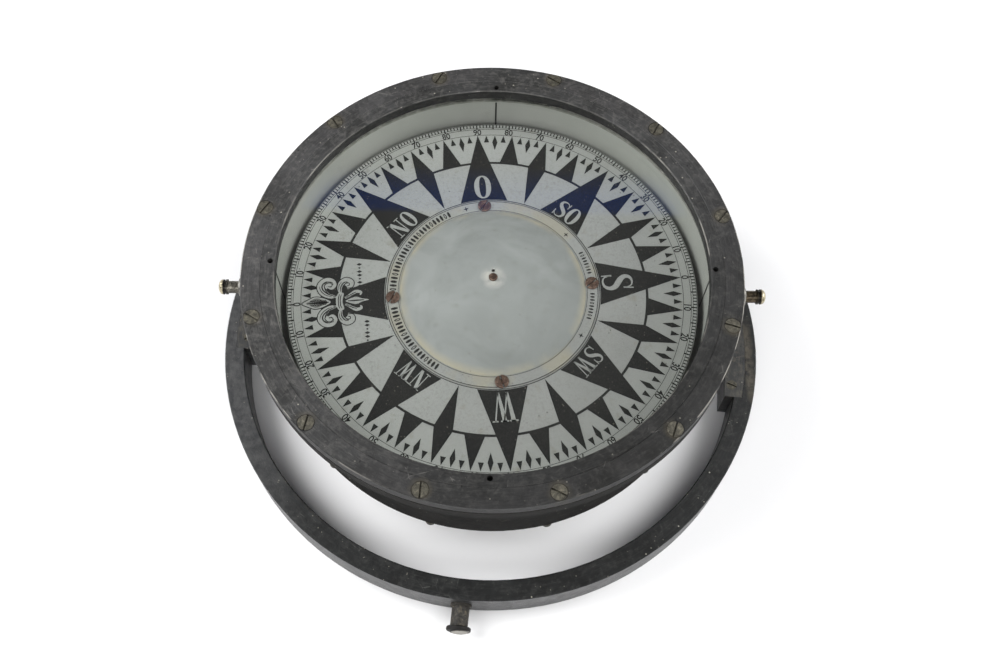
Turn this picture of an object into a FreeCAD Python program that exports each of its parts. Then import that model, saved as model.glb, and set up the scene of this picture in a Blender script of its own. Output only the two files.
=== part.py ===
"""Ship's liquid compass standing on its base, with its gimbal ring laid round it.

Frame: +Z up, origin on the table at the centre of the bowl, +X along the bowl's trunnion pins.
Lengths are millimetres and angles are degrees.
"""
import FreeCAD, Part

import math
import os

import Sketcher

V = FreeCAD.Vector
X_AXIS = V(1, 0, 0)
Y_AXIS = V(0, 1, 0)
Z_AXIS = V(0, 0, 1)

doc = FreeCAD.newDocument("ship_compass")
sheet = doc.addObject("Spreadsheet::Sheet", "Size")

# ---------------------------------------------------------------- driving dimensions
SIZES = (
    # name, value, meaning
    ("top_level", 101.7, "top face of the bezel above the table"),
    ("bezel_radius", 125.0, "outside of the bezel and of the bowl's flange"),
    ("bezel_bore", 108.4, "inside of the bezel"),
    ("bezel_edge", 7.6, "height of the bezel's outer edge"),
    ("bezel_lip", 6.0, "height of the bezel over the glass"),
    ("bezel_bevel", 0.5, "bevel on the bezel's edges"),
    ("joint_bevel", 0.55, "bevel on each side of the joint between bezel and flange"),
    ("scribe_radius", 115.3, "scribed line on the bezel"),
    ("scribe_half", 0.22, "half width and depth of the scribed line"),
    ("bezel_screw_circle", 120.8, "circle of the bezel screws"),
    ("bezel_screw_head", 3.8, "radius of a bezel screw's head"),
    ("bezel_screw_rim", 0.5, "straight rim of a countersunk head"),
    ("bezel_screw_sink", 1.8, "height of the cone under the head"),
    ("bezel_screw_shank", 2.0, "radius of a bezel screw's shank"),
    ("bezel_screw_length", 14.0, "length of a bezel screw"),
    ("slot_width", 0.9, "screw slots"),
    ("slot_depth", 1.1, "screw slots"),
    ("sight_circle", 110.8, "circle of the four small holes for the sighting ring"),
    ("sight_hole", 1.4, "radius of those holes"),
    ("sight_depth", 4.5, "depth of those holes"),
    ("play", 0.06, "clearance round fixed screws and pins"),
    ("glass_radius", 113.0, "cover glass"),
    ("glass_height", 4.0, "thickness of the cover glass"),
    ("glass_play", 0.3, "gap round the cover glass"),
    ("gasket_height", 1.2, "rubber ring under the glass"),
    ("flange_height", 7.6, "flange of the bowl"),
    ("flange_fillet", 1.8, "slope from the flange to the barrel"),
    ("barrel_radius", 116.3, "outside of the bowl's barrel"),
    ("barrel_bore", 111.5, "inside of the barrel"),
    ("barrel_foot", 36.2, "lower end of the barrel"),
    ("lip_bore", 103.0, "opening in the barrel's lower lip"),
    ("lip_height", 5.8, "thickness of the lower lip"),
    ("rabbet_radius", 109.4, "step in the lip that takes the diaphragm's rim"),
    ("liner_radius", 111.4, "outside of the enamelled liner"),
    ("liner_bore", 110.0, "inside of the liner"),
    ("floor_height", 4.0, "thickness of the pan floor"),
    ("floor_hole", 5.0, "radius of the liquid passages"),
    ("floor_hole_circle", 85.0, "circle of the liquid passages"),
    ("lubber_width", 0.9, "lubber lines"),
    ("lubber_proud", 0.25, "lubber lines"),
    ("lubber_foot", 62.0, "lower end of the lubber lines"),
    ("pivot_level", 73.7, "centre of the pivot ball and height of the trunnion axis"),
    ("ball_radius", 1.5, "pivot ball"),
    ("ball_play", 0.05, "clearance round the pivot ball"),
    ("post_radius", 5.0, "pivot post"),
    ("post_foot", 14.0, "radius of the post's foot"),
    ("post_top", 70.0, "top of the pivot post"),
    ("seat_radius", 1.0, "shank of the ball's seat"),
    ("seat_head", 1.7, "cupped head of the ball's seat"),
    ("card_radius", 106.4, "outside of the compass card"),
    ("card_level", 75.0, "top face of the card"),
    ("card_height", 0.6, "thickness of the card"),
    ("card_bore", 46.0, "opening of the card under the float"),
    ("card_turn", 5.8, "card turned from the bowl's lubber line"),
    ("band_inner", 48.5, "inner edge of the ornament band"),
    ("band_outer", 54.9, "outer edge of the ornament band"),
    ("band_height", 0.3, "thickness of the ornament band"),
    ("card_screw_circle", 51.9, "circle of the card's screws"),
    ("card_screw_head", 3.55, "radius of a card screw's head"),
    ("card_screw_rise", 1.1, "height of a card screw's head"),
    ("card_screw_shank", 1.5, "radius of a card screw's shank"),
    ("float_radius", 48.3, "edge of the float's dome"),
    ("float_rise", 14.3, "height of the float's dome"),
    ("sheet_metal", 0.8, "thickness of the float's shells"),
    ("float_foot", 58.0, "lowest level of the float"),
    ("float_floor", 22.0, "radius of the float's flat bottom"),
    ("float_tube", 8.0, "bore of the float's middle tube"),
    ("float_flange", 56.0, "flange of the lower shell"),
    ("cup_radius", 4.5, "jewel cup"),
    ("jewel_radius", 2.6, "pivot jewel"),
    ("jewel_height", 3.0, "pivot jewel"),
    ("cap_screw_head", 2.2, "screw on top of the dome"),
    ("cap_screw_rise", 0.9, "screw on top of the dome"),
    ("vent_radius", 0.9, "vent hole beside that screw"),
    ("vent_place", 4.0, "distance of the vent from the middle"),
    ("magnet_radius", 2.2, "magnet tubes"),
    ("magnet_level", 66.0, "height of the magnet tubes"),
    ("magnet_first", 56.0, "nearest magnet tube to the middle"),
    ("magnet_pitch", 6.0, "distance between magnet tubes"),
    ("magnet_half", 40.0, "half length of the longest magnet tube"),
    ("magnet_step", 6.0, "each next tube is shorter by this at each end"),
    ("bracket_place", 22.0, "magnet brackets from the middle"),
    ("bracket_thick", 1.5, "magnet brackets"),
    ("diaphragm_rim", 109.2, "radius of the expansion diaphragm"),
    ("diaphragm_thick", 0.8, "expansion diaphragm"),
    ("diaphragm_wave", 2.0, "height of a corrugation"),
    ("flange_foot", 34.7, "lower face of the base flange"),
    ("drum_radius", 96.0, "outside of the base drum"),
    ("cover_wall", 1.1, "sheet of the base drum"),
    ("foot_inner", 84.0, "inside of the flat foot"),
    ("foot_height", 3.0, "height of the flat foot"),
    ("flange_screw_circle", 113.7, "circle of the base flange's screws"),
    ("flange_screw_head", 3.0, "radius of their heads"),
    ("flange_screw_rise", 4.2, "height of their heads"),
    ("flange_screw_shank", 1.4, "radius of their shanks"),
    ("flange_screw_length", 5.5, "length of their shanks"),
    ("ballast_outer", 94.0, "lead ring in the drum"),
    ("ballast_inner", 62.0, "lead ring in the drum"),
    ("ballast_height", 11.0, "lead ring in the drum"),
    ("plug_level", 62.0, "height of the filler plug"),
    ("plug_radius", 5.0, "thread of the filler plug"),
    ("plug_head", 7.5, "head of the filler plug"),
    ("plug_rise", 3.0, "head of the filler plug"),
    ("boss_foot", 8.2, "foot of a trunnion boss"),
    ("boss_nose", 5.2, "nose of a trunnion boss"),
    ("boss_end", 131.2, "nose of a trunnion boss from the middle"),
    ("boss_spigot", 4.6, "spigot of a boss in the barrel wall"),
    ("boss_bore_end", 118.2, "bottom of the boss's bore"),
    ("trunnion_radius", 3.2, "trunnion pin"),
    ("trunnion_play", 0.05, "running clearance of the trunnion pin"),
    ("trunnion_neck_end", 137.4, "outer end of the pin's neck"),
    ("trunnion_head", 3.95, "head of the trunnion pin"),
    ("trunnion_collar_end", 138.1, "thin collar at the end of the neck"),
    ("trunnion_groove", 3.2, "groove between collar and head"),
    ("trunnion_groove_end", 139.2, "groove between collar and head"),
    ("trunnion_dome_start", 140.0, "where the head starts to round"),
    ("trunnion_end", 142.2, "tip of the trunnion pin"),
    ("ring_turn", 5.1, "gimbal ring turned clockwise from the bowl"),
    ("ring_outer", 148.8, "gimbal ring"),
    ("ring_inner", 138.1, "gimbal ring"),
    ("ring_height", 22.5, "gimbal ring"),
    ("ring_bevel", 0.5, "bevel on the ring's edges"),
    ("pad_face", 131.5, "flat inner face of a bearing pad"),
    ("pad_half", 23.0, "half length of a bearing pad"),
    ("bearing_level", 11.25, "height of the bearing axis in the ring"),
    ("notch_play", 0.1, "clearance of the pin in its notch"),
    ("notch_slope", 0.3, "sideways widening of the notch for each mm of height"),
    ("pocket_start", 137.2, "where the notch widens for the pin's head"),
    ("pocket_end", 142.5, "outer end of the pocket and of the keeper"),
    ("pocket_radius", 4.4, "pocket for the pin's head"),
    ("keeper_height", 5.0, "keeper plate over the bearing"),
    ("keeper_play", 0.1, "gap round the keeper plate"),
    ("keeper_screw_place", 15.9, "keeper screws from the middle of the keeper"),
    ("keeper_screw_depth", 135.1, "keeper screws from the middle of the ring"),
    ("keeper_screw_head", 2.8, "radius of a keeper screw's head"),
    ("keeper_screw_shank", 1.5, "radius of a keeper screw's shank"),
    ("keeper_screw_length", 12.0, "length of a keeper screw"),
    ("journal_radius", 4.53, "neck of an outer journal"),
    ("journal_shank", 3.5, "shank of a journal in the ring"),
    ("journal_shank_start", 141.0, "inner end of the shank"),
    ("journal_shoulder", 5.5, "shoulder of a journal"),
    ("journal_shoulder_end", 150.1, "outer face of the shoulder"),
    ("journal_neck_end", 160.3, "outer end of the neck"),
    ("journal_flange", 6.33, "end flange of a journal"),
    ("journal_flange_end", 162.4, "outer face of the end flange"),
    ("journal_dome", 5.0, "polished dome on the end flange"),
    ("journal_end", 163.7, "tip of a journal"),
)

SCREWS_ROUND = 12
SCREW_STEP = 360.0 / SCREWS_ROUND
FIRST_SCREW = SCREW_STEP / 2
# slot directions of the bezel screws, counter-clockwise from the first screw after +X
SLOT_TURNS = (52, 64, -32, 62, 124, 58, -31, 79, 87, -26, 71, -17)
# side of the bowl: +1 is the +X side and -1 is the -X side
SIDES = (1, -1)


class Dim:
    """A size that carries its number and the spreadsheet expression for it."""

    def __init__(self, value, text):
        self.value = float(value)
        self.text = text

    @staticmethod
    def of(other):
        return other if isinstance(other, Dim) else Dim(other, repr(float(other)))

    def __add__(self, other):
        other = Dim.of(other)
        return Dim(self.value + other.value, "(%s + %s)" % (self.text, other.text))

    def __sub__(self, other):
        other = Dim.of(other)
        return Dim(self.value - other.value, "(%s - %s)" % (self.text, other.text))

    def __mul__(self, other):
        other = Dim.of(other)
        return Dim(self.value * other.value, "(%s * %s)" % (self.text, other.text))

    def __neg__(self):
        return Dim(-self.value, "(-1 * %s)" % self.text)

    def __float__(self):
        return self.value


class Sizes:
    """Every spreadsheet size by its name."""


size = Sizes()
for row, (name, value, meaning) in enumerate(SIZES, start=1):
    sheet.set("A%d" % row, name)
    sheet.set("B%d" % row, str(value))
    sheet.set("C%d" % row, meaning)
    sheet.setAlias("B%d" % row, name)
    setattr(size, name, Dim(value, "Size.%s" % name))
doc.recompute()

NODES = {}


# ---------------------------------------------------------------- building blocks
def node(label, obj):
    """Keeps an object as one of the compass's pieces."""
    obj.Label = label
    NODES[label] = obj
    return obj


def bind(obj, prop, dim):
    obj.setExpression(prop, Dim.of(dim).text)


def place(obj, x=0, y=0, z=0):
    """Moves an object to a place given in sizes, and keeps the link to the sheet."""
    for axis, dim in (("x", x), ("y", y), ("z", z)):
        bind(obj, "Placement.Base.%s" % axis, dim)
    return obj


def turned(name, outline):
    """A round piece: the closed half section (radius, height) turned about Z."""
    body = doc.addObject("PartDesign::Body", name)
    sketch = body.newObject("Sketcher::SketchObject", name + "_section")
    plane = [f for f in body.Origin.OriginFeatures if f.Role == "XZ_Plane"][0]
    sketch.AttachmentSupport = [(plane, "")]
    sketch.MapMode = "FlatFace"
    points = [(Dim.of(r), Dim.of(z)) for r, z in outline]
    count = len(points)
    for i, (r, z) in enumerate(points):
        r_next, z_next = points[(i + 1) % count]
        sketch.addGeometry(Part.LineSegment(V(r.value, z.value, 0), V(r_next.value, z_next.value, 0)))
    for i in range(count):
        sketch.addConstraint(Sketcher.Constraint("Coincident", i, 2, (i + 1) % count, 1))
    for i, (r, z) in enumerate(points):
        for kind, dim, axis in (("DistanceX", r, -2), ("DistanceY", z, -1)):
            if dim.value == 0:
                sketch.addConstraint(Sketcher.Constraint("PointOnObject", i, 1, axis))
                continue
            index = sketch.addConstraint(Sketcher.Constraint(kind, -1, 1, i, 1, dim.value))
            sketch.setExpression("Constraints[%d]" % index, dim.text)
    turn = body.newObject("PartDesign::Revolution", name + "_turned")
    turn.Profile = sketch
    turn.ReferenceAxis = (sketch, ["V_Axis"])
    turn.Angle = 360.0
    body.Tip = turn
    return body


def ring_of(name, inner, outer, low, high):
    """A plain ring between two radii and two levels."""
    return turned(name, ((inner, low), (outer, low), (outer, high), (inner, high)))


def cylinder(name, radius, height, x=0, y=0, z=0):
    """An upright cylinder on its lower face's centre."""
    obj = doc.addObject("Part::Cylinder", name)
    bind(obj, "Radius", radius)
    bind(obj, "Height", height)
    return place(obj, x, y, z)


def box(name, length, width, height, x, y, z):
    """A box from its lowest corner."""
    obj = doc.addObject("Part::Box", name)
    bind(obj, "Length", length)
    bind(obj, "Width", width)
    bind(obj, "Height", height)
    return place(obj, x, y, z)


def ball(name, radius, level):
    obj = doc.addObject("Part::Sphere", name)
    bind(obj, "Radius", radius)
    return place(obj, 0, 0, level)


def cut(name, base, *tools):
    """The base less each tool in turn."""
    for i, tool in enumerate(tools):
        obj = doc.addObject("Part::Cut", "%s_%d" % (name, i) if i < len(tools) - 1 else name)
        obj.Base = base
        obj.Tool = tool
        base = obj
    return base


def common(name, base, tool):
    obj = doc.addObject("Part::Common", name)
    obj.Base = base
    obj.Tool = tool
    return obj


def fused(name, *pieces):
    obj = doc.addObject("Part::MultiFuse", name)
    obj.Shapes = list(pieces)
    return obj


def solids_of(obj):
    """The object's solids, recomputed from its present sizes."""
    doc.recompute()
    return obj.Shape.Solids


def gathered(name, shapes):
    """One object that holds several separate solids."""
    obj = doc.addObject("Part::Feature", name)
    obj.Shape = Part.makeCompound([s for shape in shapes for s in shape.Solids])
    return obj


def turned_copy(shape, angle, axis=Z_AXIS):
    copy = shape.copy()
    copy.rotate(V(0, 0, 0), axis, angle)
    return copy


def round_copies(name, source, count, first=0.0):
    """Equal copies of a piece round the Z axis; the source stands on the +X side."""
    shape = solids_of(source)[0]
    step = 360.0 / count
    return gathered(name, [turned_copy(shape, first + k * step) for k in range(count)])


def laid_along_x(name, source, level, side=1):
    """A piece turned about Z, laid down so that its axis runs out along +X or -X at a level."""
    shape = solids_of(source)[0].copy()
    shape.rotate(V(0, 0, 0), Y_AXIS, 90)
    if side < 0:
        shape.rotate(V(0, 0, 0), Z_AXIS, 180)
    shape.translate(V(0, 0, level.value))
    return gathered(name, [shape])


def screw(name, circle, top, head, rim, sink, shank, length, grow=0.0):
    """A countersunk screw on the +X side; grow makes the hole that it sits in."""
    head_r = head + grow
    shank_r = shank + grow
    outline = (
        (0, top - length - grow),
        (shank_r, top - length - grow),
        (shank_r, top - rim - sink),
        (head_r, top - rim),
        (head_r, top + (grow * 4)),
        (0, top + (grow * 4)),
    )
    return place(turned(name, outline), circle, 0, 0)


def slotted(name, piece, circle, top, head, turn):
    """The same screw with a slot cut across its head at an angle."""
    half = head.value + 0.5
    width = size.slot_width.value
    depth = size.slot_depth.value
    cutter = Part.makeBox(2 * half, width, 2 * depth, V(-half, -width / 2, -depth))
    cutter.rotate(V(0, 0, 0), Z_AXIS, turn)
    cutter.translate(V(circle.value, 0, top.value))
    return solids_of(piece)[0].cut(cutter).Solids[0]


# ---------------------------------------------------------------- levels used by several pieces
bezel_under = size.top_level - size.bezel_edge
glass_top = size.top_level - size.bezel_lip
glass_under = glass_top - size.glass_height
gasket_under = glass_under - size.gasket_height
flange_under = bezel_under - size.flange_height
lip_top = size.barrel_foot + size.lip_height
floor_top = lip_top + size.floor_height
glass_pocket = size.glass_radius + size.glass_play
card_under = size.card_level - size.card_height
dome_top = size.card_level + size.float_rise


# ---------------------------------------------------------------- bezel, glass and bowl
def bezel_screw_hole():
    return screw("bezel_screw_hole", size.bezel_screw_circle, size.top_level, size.bezel_screw_head,
                 size.bezel_screw_rim, size.bezel_screw_sink, size.bezel_screw_shank,
                 size.bezel_screw_length, size.play)


def make_bezel(holes):
    """The flat ring that clamps the glass: edge bevels, a scribed line and four sight holes."""
    s = size
    top = s.top_level
    outline = (
        (s.bezel_bore, glass_top), (glass_pocket, glass_top), (glass_pocket, bezel_under),
        (s.bezel_radius - s.joint_bevel, bezel_under), (s.bezel_radius, bezel_under + s.joint_bevel),
        (s.bezel_radius, top - s.bezel_bevel),
        (s.bezel_radius - s.bezel_bevel, top), (s.scribe_radius + s.scribe_half, top),
        (s.scribe_radius, top - s.scribe_half), (s.scribe_radius - s.scribe_half, top),
        (s.bezel_bore + s.bezel_bevel, top), (s.bezel_bore, top - s.bezel_bevel),
    )
    blank = turned("bezel_blank", outline)
    sight = cylinder("sight_hole_tool", s.sight_hole, s.sight_depth * 2, s.sight_circle, 0,
                     top - s.sight_depth)
    sights = round_copies("sight_holes", sight, 4)
    return node("bezel_ring", cut("bezel_ring", blank, holes, sights))


def make_bezel_screws():
    """Slotted countersunk screws, each left with its slot at its own angle."""
    s = size
    plain = screw("bezel_screw", s.bezel_screw_circle, s.top_level, s.bezel_screw_head, s.bezel_screw_rim,
                  s.bezel_screw_sink, s.bezel_screw_shank, s.bezel_screw_length)
    shapes = []
    for k, slot in enumerate(SLOT_TURNS):
        angle = FIRST_SCREW + k * SCREW_STEP
        shape = slotted("bezel_screw", plain, s.bezel_screw_circle, s.top_level, s.bezel_screw_head,
                        slot - angle)
        shapes.append(turned_copy(shape, angle))
    return node("bezel_screws", gathered("bezel_screws", shapes))


def make_bowl(bezel_holes, flange_holes, spigot_holes, plug_hole):
    """The cast bowl: a flange under the bezel, a barrel and an inward lip at its foot."""
    s = size
    rabbet_top = s.barrel_foot + s.diaphragm_thick
    outline = (
        (s.lip_bore, rabbet_top), (s.rabbet_radius, rabbet_top), (s.rabbet_radius, s.barrel_foot),
        (s.barrel_radius, s.barrel_foot),
        (s.barrel_radius, flange_under - s.flange_fillet),
        (s.barrel_radius + s.flange_fillet, flange_under), (s.bezel_radius, flange_under),
        (s.bezel_radius, bezel_under - s.joint_bevel), (s.bezel_radius - s.joint_bevel, bezel_under),
        (glass_pocket, bezel_under), (glass_pocket, gasket_under),
        (s.barrel_bore, gasket_under), (s.barrel_bore, lip_top), (s.lip_bore, lip_top),
    )
    casting = turned("bowl_casting", outline)
    return node("bowl_body", cut("bowl_body", casting, bezel_holes, flange_holes, spigot_holes, plug_hole))


def make_glass():
    s = size
    node("cover_glass", cylinder("cover_glass", s.glass_radius, s.glass_height, 0, 0, glass_under))
    node("glass_gasket", ring_of("glass_gasket", s.liner_bore, s.glass_radius, gasket_under, glass_under))


def make_liner():
    """The pale sleeve inside the bowl, with a black lubber line at each quarter."""
    s = size
    node("inner_liner", ring_of("inner_liner", s.liner_bore, s.liner_radius, floor_top, gasket_under))
    band = ring_of("lubber_band", s.liner_bore - s.lubber_proud, s.liner_bore, s.lubber_foot,
                   gasket_under - 0.5)
    stripe = box("lubber_stripe", 20, s.lubber_width, 60, s.liner_bore - 10, s.lubber_width * -0.5,
                 s.lubber_foot - 10)
    line = common("lubber_line", band, stripe)
    node("lubber_lines", round_copies("lubber_lines", line, 4))


def make_floor():
    """The pan floor that carries the pivot post, with round passages for the liquid."""
    s = size
    disc = ring_of("floor_disc", s.post_radius + s.play, s.liner_radius, lip_top, floor_top)
    passage = cylinder("floor_passage", s.floor_hole, 20, s.floor_hole_circle, 0, lip_top - 5)
    return node("pan_floor", cut("pan_floor", disc, round_copies("floor_passages", passage, 8)))


def make_pivot():
    """The brass post, the cupped seat on its top and the small ball that carries the card."""
    s = size
    post_shoulder = s.post_top - 8
    outline = (
        (s.seat_radius, lip_top), (s.post_radius, lip_top), (s.post_radius, floor_top),
        (s.post_foot, floor_top), (s.post_foot, floor_top + 2), (s.post_radius, floor_top + 4),
        (s.post_radius, post_shoulder), (s.seat_head + 0.6, s.post_top), (s.seat_radius, s.post_top),
    )
    node("pivot_post", turned("pivot_post", outline))
    seat_top = s.pivot_level - s.ball_radius * 0.5
    seat = turned("seat_blank", (
        (0, lip_top), (s.seat_radius, lip_top), (s.seat_radius, s.post_top), (s.seat_head, s.post_top),
        (s.seat_head, seat_top), (0, seat_top),
    ))
    room = ball("seat_room", s.ball_radius + s.ball_play, s.pivot_level)
    node("pivot_seat", cut("pivot_seat", seat, room))
    node("pivot_ball", ball("pivot_ball", s.ball_radius, s.pivot_level))


# ---------------------------------------------------------------- expansion chamber and base
def make_diaphragm():
    """A thin corrugated disc that closes the bowl from below and takes up the liquid's swelling."""
    s = size
    rim = s.diaphragm_rim.value
    thick = s.diaphragm_thick.value
    high = s.barrel_foot.value + thick
    wave = s.diaphragm_wave.value
    ripple_start, ripple_end, ripples = 24.0, 96.0, 6
    steps = ripples * 2
    radii = [ripple_end + (ripple_start - ripple_end) * k / steps for k in range(steps + 1)]
    rise = [0.0 if k % 2 == 0 else wave for k in range(steps + 1)]
    upper = [V(rim, 0, high)] + [V(r, 0, high + d) for r, d in zip(radii, rise)] + [V(0, 0, high)]
    lower = [V(p.x, 0, p.z - thick) for p in reversed(upper)]
    outline = Part.makePolygon(upper + lower + [upper[0]])
    disc = Part.Face(outline).revolve(V(0, 0, 0), Z_AXIS, 360)
    return node("diaphragm", gathered("diaphragm", [disc]))


def make_base(flange_holes):
    """The base: a flat flange screwed up under the barrel and a narrower spun drum down to a flat foot."""
    s = size
    w = s.cover_wall
    flange = ring_of("flange_blank", s.drum_radius, s.barrel_radius, s.flange_foot, s.barrel_foot)
    node("base_flange", cut("base_flange", flange, flange_holes))
    outline = (
        (0, s.foot_height - w), (s.foot_inner, s.foot_height - w), (s.foot_inner, 0), (s.drum_radius - 2, 0),
        (s.drum_radius, 2), (s.drum_radius, s.barrel_foot), (s.drum_radius - w, s.barrel_foot),
        (s.drum_radius - w, s.foot_height), (0, s.foot_height),
    )
    node("base_drum", turned("base_drum", outline))


def make_flange_screws():
    """Round-headed screws that go up through the base flange into the barrel's lip."""
    s = size
    head_low = s.flange_foot - s.flange_screw_rise
    shank_top = s.flange_foot + s.flange_screw_length
    pin = turned("flange_screw", (
        (0, head_low), (s.flange_screw_head - 1.6, head_low), (s.flange_screw_head - 0.6, head_low + 0.5),
        (s.flange_screw_head, head_low + 1.3), (s.flange_screw_head, s.flange_foot),
        (s.flange_screw_shank, s.flange_foot), (s.flange_screw_shank, shank_top), (0, shank_top),
    ))
    place(pin, s.flange_screw_circle, 0, 0)
    slot = Part.makeBox(10, 0.8, 1.6, V(-5, -0.4, -0.8))
    shapes = []
    for k in range(SCREWS_ROUND):
        cutter = slot.copy()
        cutter.rotate(V(0, 0, 0), Z_AXIS, 37 + 71 * k)
        cutter.translate(V(s.flange_screw_circle.value, 0, head_low.value))
        shape = solids_of(pin)[0].cut(cutter).Solids[0]
        shapes.append(turned_copy(shape, FIRST_SCREW + k * SCREW_STEP))
    node("flange_screws", gathered("flange_screws", shapes))


def make_ballast():
    s = size
    node("ballast_ring", ring_of("ballast_ring", s.ballast_inner, s.ballast_outer, s.foot_height,
                                 s.foot_height + s.ballast_height))


def make_filler():
    """The filler plug and its washer, at the far side of the barrel."""
    s = size
    seat = s.barrel_radius + 1.2
    head_end = seat + s.plug_rise
    plug = turned("plug_turned", (
        (0, s.barrel_bore + 0.3), (s.plug_radius, s.barrel_bore + 0.3), (s.plug_radius, seat),
        (s.plug_head, seat), (s.plug_head, head_end - 0.8), (s.plug_head - 0.8, head_end), (0, head_end),
    ))
    laid = laid_along_x("plug_laid", plug, s.plug_level)
    slot_w = 1.6
    slot = Part.makeBox(4, 2 * s.plug_head.value + 2, slot_w,
                        V(head_end.value - 1.6, -s.plug_head.value - 1, s.plug_level.value - slot_w / 2))
    plug_shape = laid.Shape.Solids[0].cut(slot)
    node("filler_plug", gathered("filler_plug", [turned_copy(plug_shape, 90)]))
    ring = ring_of("washer_turned", s.plug_radius + s.play, s.plug_head + 0.5, s.barrel_radius - 1, seat)
    washer = laid_along_x("washer_laid", ring, s.plug_level)
    barrel = Part.makeCylinder(s.barrel_radius.value + 0.02, s.top_level.value)
    node("filler_washer", gathered("filler_washer",
                                   [turned_copy(washer.Shape.Solids[0].cut(barrel), 90)]))


def side_hole(name, radius, start, end, level):
    """A drilling tool along +X between two distances from the middle."""
    tool = turned(name + "_turned", ((0, start), (radius, start), (radius, end), (0, end)))
    return laid_along_x(name, tool, level)


# ---------------------------------------------------------------- trunnions
def make_bosses():
    """Cone-shaped bosses on the barrel, saddled to it, each with a blind bore for its pin."""
    s = size
    spigot_start = s.barrel_bore + 0.4
    cone_start = s.barrel_radius - 1
    outline = (
        (0, spigot_start), (s.boss_spigot, spigot_start), (s.boss_spigot, cone_start),
        (s.boss_foot, cone_start), (s.boss_foot, s.barrel_radius + 2.5),
        (s.boss_nose + 0.7, s.boss_end - 3), (s.boss_nose - 0.5, s.boss_end),
        (s.trunnion_radius + s.trunnion_play, s.boss_end),
        (s.trunnion_radius + s.trunnion_play, s.boss_bore_end), (0, s.boss_bore_end),
    )
    laid = laid_along_x("boss_laid", turned("boss_turned", outline), s.pivot_level)
    wall = s.barrel_radius.value + 0.02
    saddle = Part.makeCylinder(wall, s.top_level.value)
    keep = Part.makeCylinder(s.boss_spigot.value, wall + 5, V(0, 0, s.pivot_level.value), X_AXIS)
    boss = laid.Shape.Solids[0].cut(saddle.cut(keep))
    node("trunnion_bosses", gathered("trunnion_bosses", [boss, turned_copy(boss, 180)]))


def make_trunnions():
    """The two pins that the bowl hangs on: neck, thin collar, groove and a domed head."""
    s = size
    r = s.trunnion_radius
    outline = [
        (0, s.boss_bore_end + 0.3), (r, s.boss_bore_end + 0.3), (r, s.trunnion_neck_end),
        (s.trunnion_head, s.trunnion_neck_end), (s.trunnion_head, s.trunnion_collar_end),
        (s.trunnion_groove, s.trunnion_collar_end), (s.trunnion_groove, s.trunnion_groove_end),
        (s.trunnion_head, s.trunnion_groove_end), (s.trunnion_head, s.trunnion_dome_start),
    ]
    rise = s.trunnion_end - s.trunnion_dome_start
    for degrees in (20, 40, 60, 75):
        angle = math.radians(degrees)
        outline.append((s.trunnion_head * math.cos(angle), s.trunnion_dome_start + rise * math.sin(angle)))
    outline.append((0, s.trunnion_end))
    pin = laid_along_x("trunnion_laid", turned("trunnion_turned", outline), s.pivot_level).Shape.Solids[0]
    node("trunnion_pins", gathered("trunnion_pins", [pin, turned_copy(pin, 180)]))


# ---------------------------------------------------------------- card
def turned_with_card(name, obj):
    """Turns a piece with the card from the bowl's axes."""
    shapes = [turned_copy(solid, size.card_turn.value) for solid in solids_of(obj)]
    return node(name, gathered(name, shapes))


def make_card_disc(holes):
    s = size
    disc = ring_of("card_blank", s.card_bore, s.card_radius, card_under, s.card_level)
    turned_with_card("card_disc", cut("card_cut", disc, holes))


def make_card_band(holes):
    s = size
    ring = ring_of("band_blank", s.band_inner, s.band_outer, s.card_level, s.card_level + s.band_height)
    turned_with_card("card_band", cut("band_cut", ring, holes))


def make_card_screws():
    """Four slotted screws through band, card and float flange, on the card's main axes."""
    s = size
    seat = s.card_level + s.band_height
    top = seat + s.card_screw_rise
    pin = turned("card_screw", (
        (0, card_under - 2.4), (s.card_screw_shank, card_under - 2.4), (s.card_screw_shank, seat),
        (s.card_screw_head, seat), (s.card_screw_head, top - 0.4), (s.card_screw_head - 0.5, top), (0, top),
    ))
    place(pin, s.card_screw_circle, 0, 0)
    shapes = []
    for k, slot in enumerate((35, 140, 60, 15)):
        shape = slotted("card_screw", pin, s.card_screw_circle, top, s.card_screw_head, slot)
        shapes.append(turned_copy(shape, s.card_turn.value + 90 * k))
    node("card_screws", gathered("card_screws", shapes))


def make_float(holes):
    """The hollow float: a shallow dome above the card and a cone below, with a tube for the pivot."""
    s = size
    rise = s.float_rise.value
    edge = s.float_radius.value
    wall = s.sheet_metal.value
    curve = (edge * edge + rise * rise) / (2 * rise)
    centre = dome_top.value - curve
    outer = Part.makeSphere(curve, V(0, 0, centre))
    inner = Part.makeSphere(curve - wall, V(0, 0, centre))
    above = Part.makeCylinder(edge + 1, rise + 1, V(0, 0, s.card_level.value))
    shell = outer.cut(inner).common(above)
    neck = Part.makeCylinder(1.2 + s.play.value, 20, V(0, 0, dome_top.value - 10))
    vent = Part.makeCylinder(s.vent_radius.value, 20, V(0, s.vent_place.value, dome_top.value - 10))
    node("float_dome", gathered("float_dome", [shell.cut(neck).cut(vent)]))
    w = s.sheet_metal
    outline = (
        (s.float_flange, card_under - w), (s.float_flange, card_under), (s.float_radius - 0.6, card_under),
        (s.float_floor - 0.4, s.float_foot + w), (s.float_tube + w, s.float_foot + w),
        (s.float_tube + w, s.card_level + 6), (s.cup_radius + s.play, s.card_level + 6),
        (s.cup_radius + s.play, s.card_level + 5.2), (s.float_tube, s.card_level + 5.2),
        (s.float_tube, s.float_foot), (s.float_floor, s.float_foot), (s.float_radius, card_under - w),
    )
    turned_with_card("float_cone", cut("cone_cut", turned("cone_blank", outline), holes))


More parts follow.
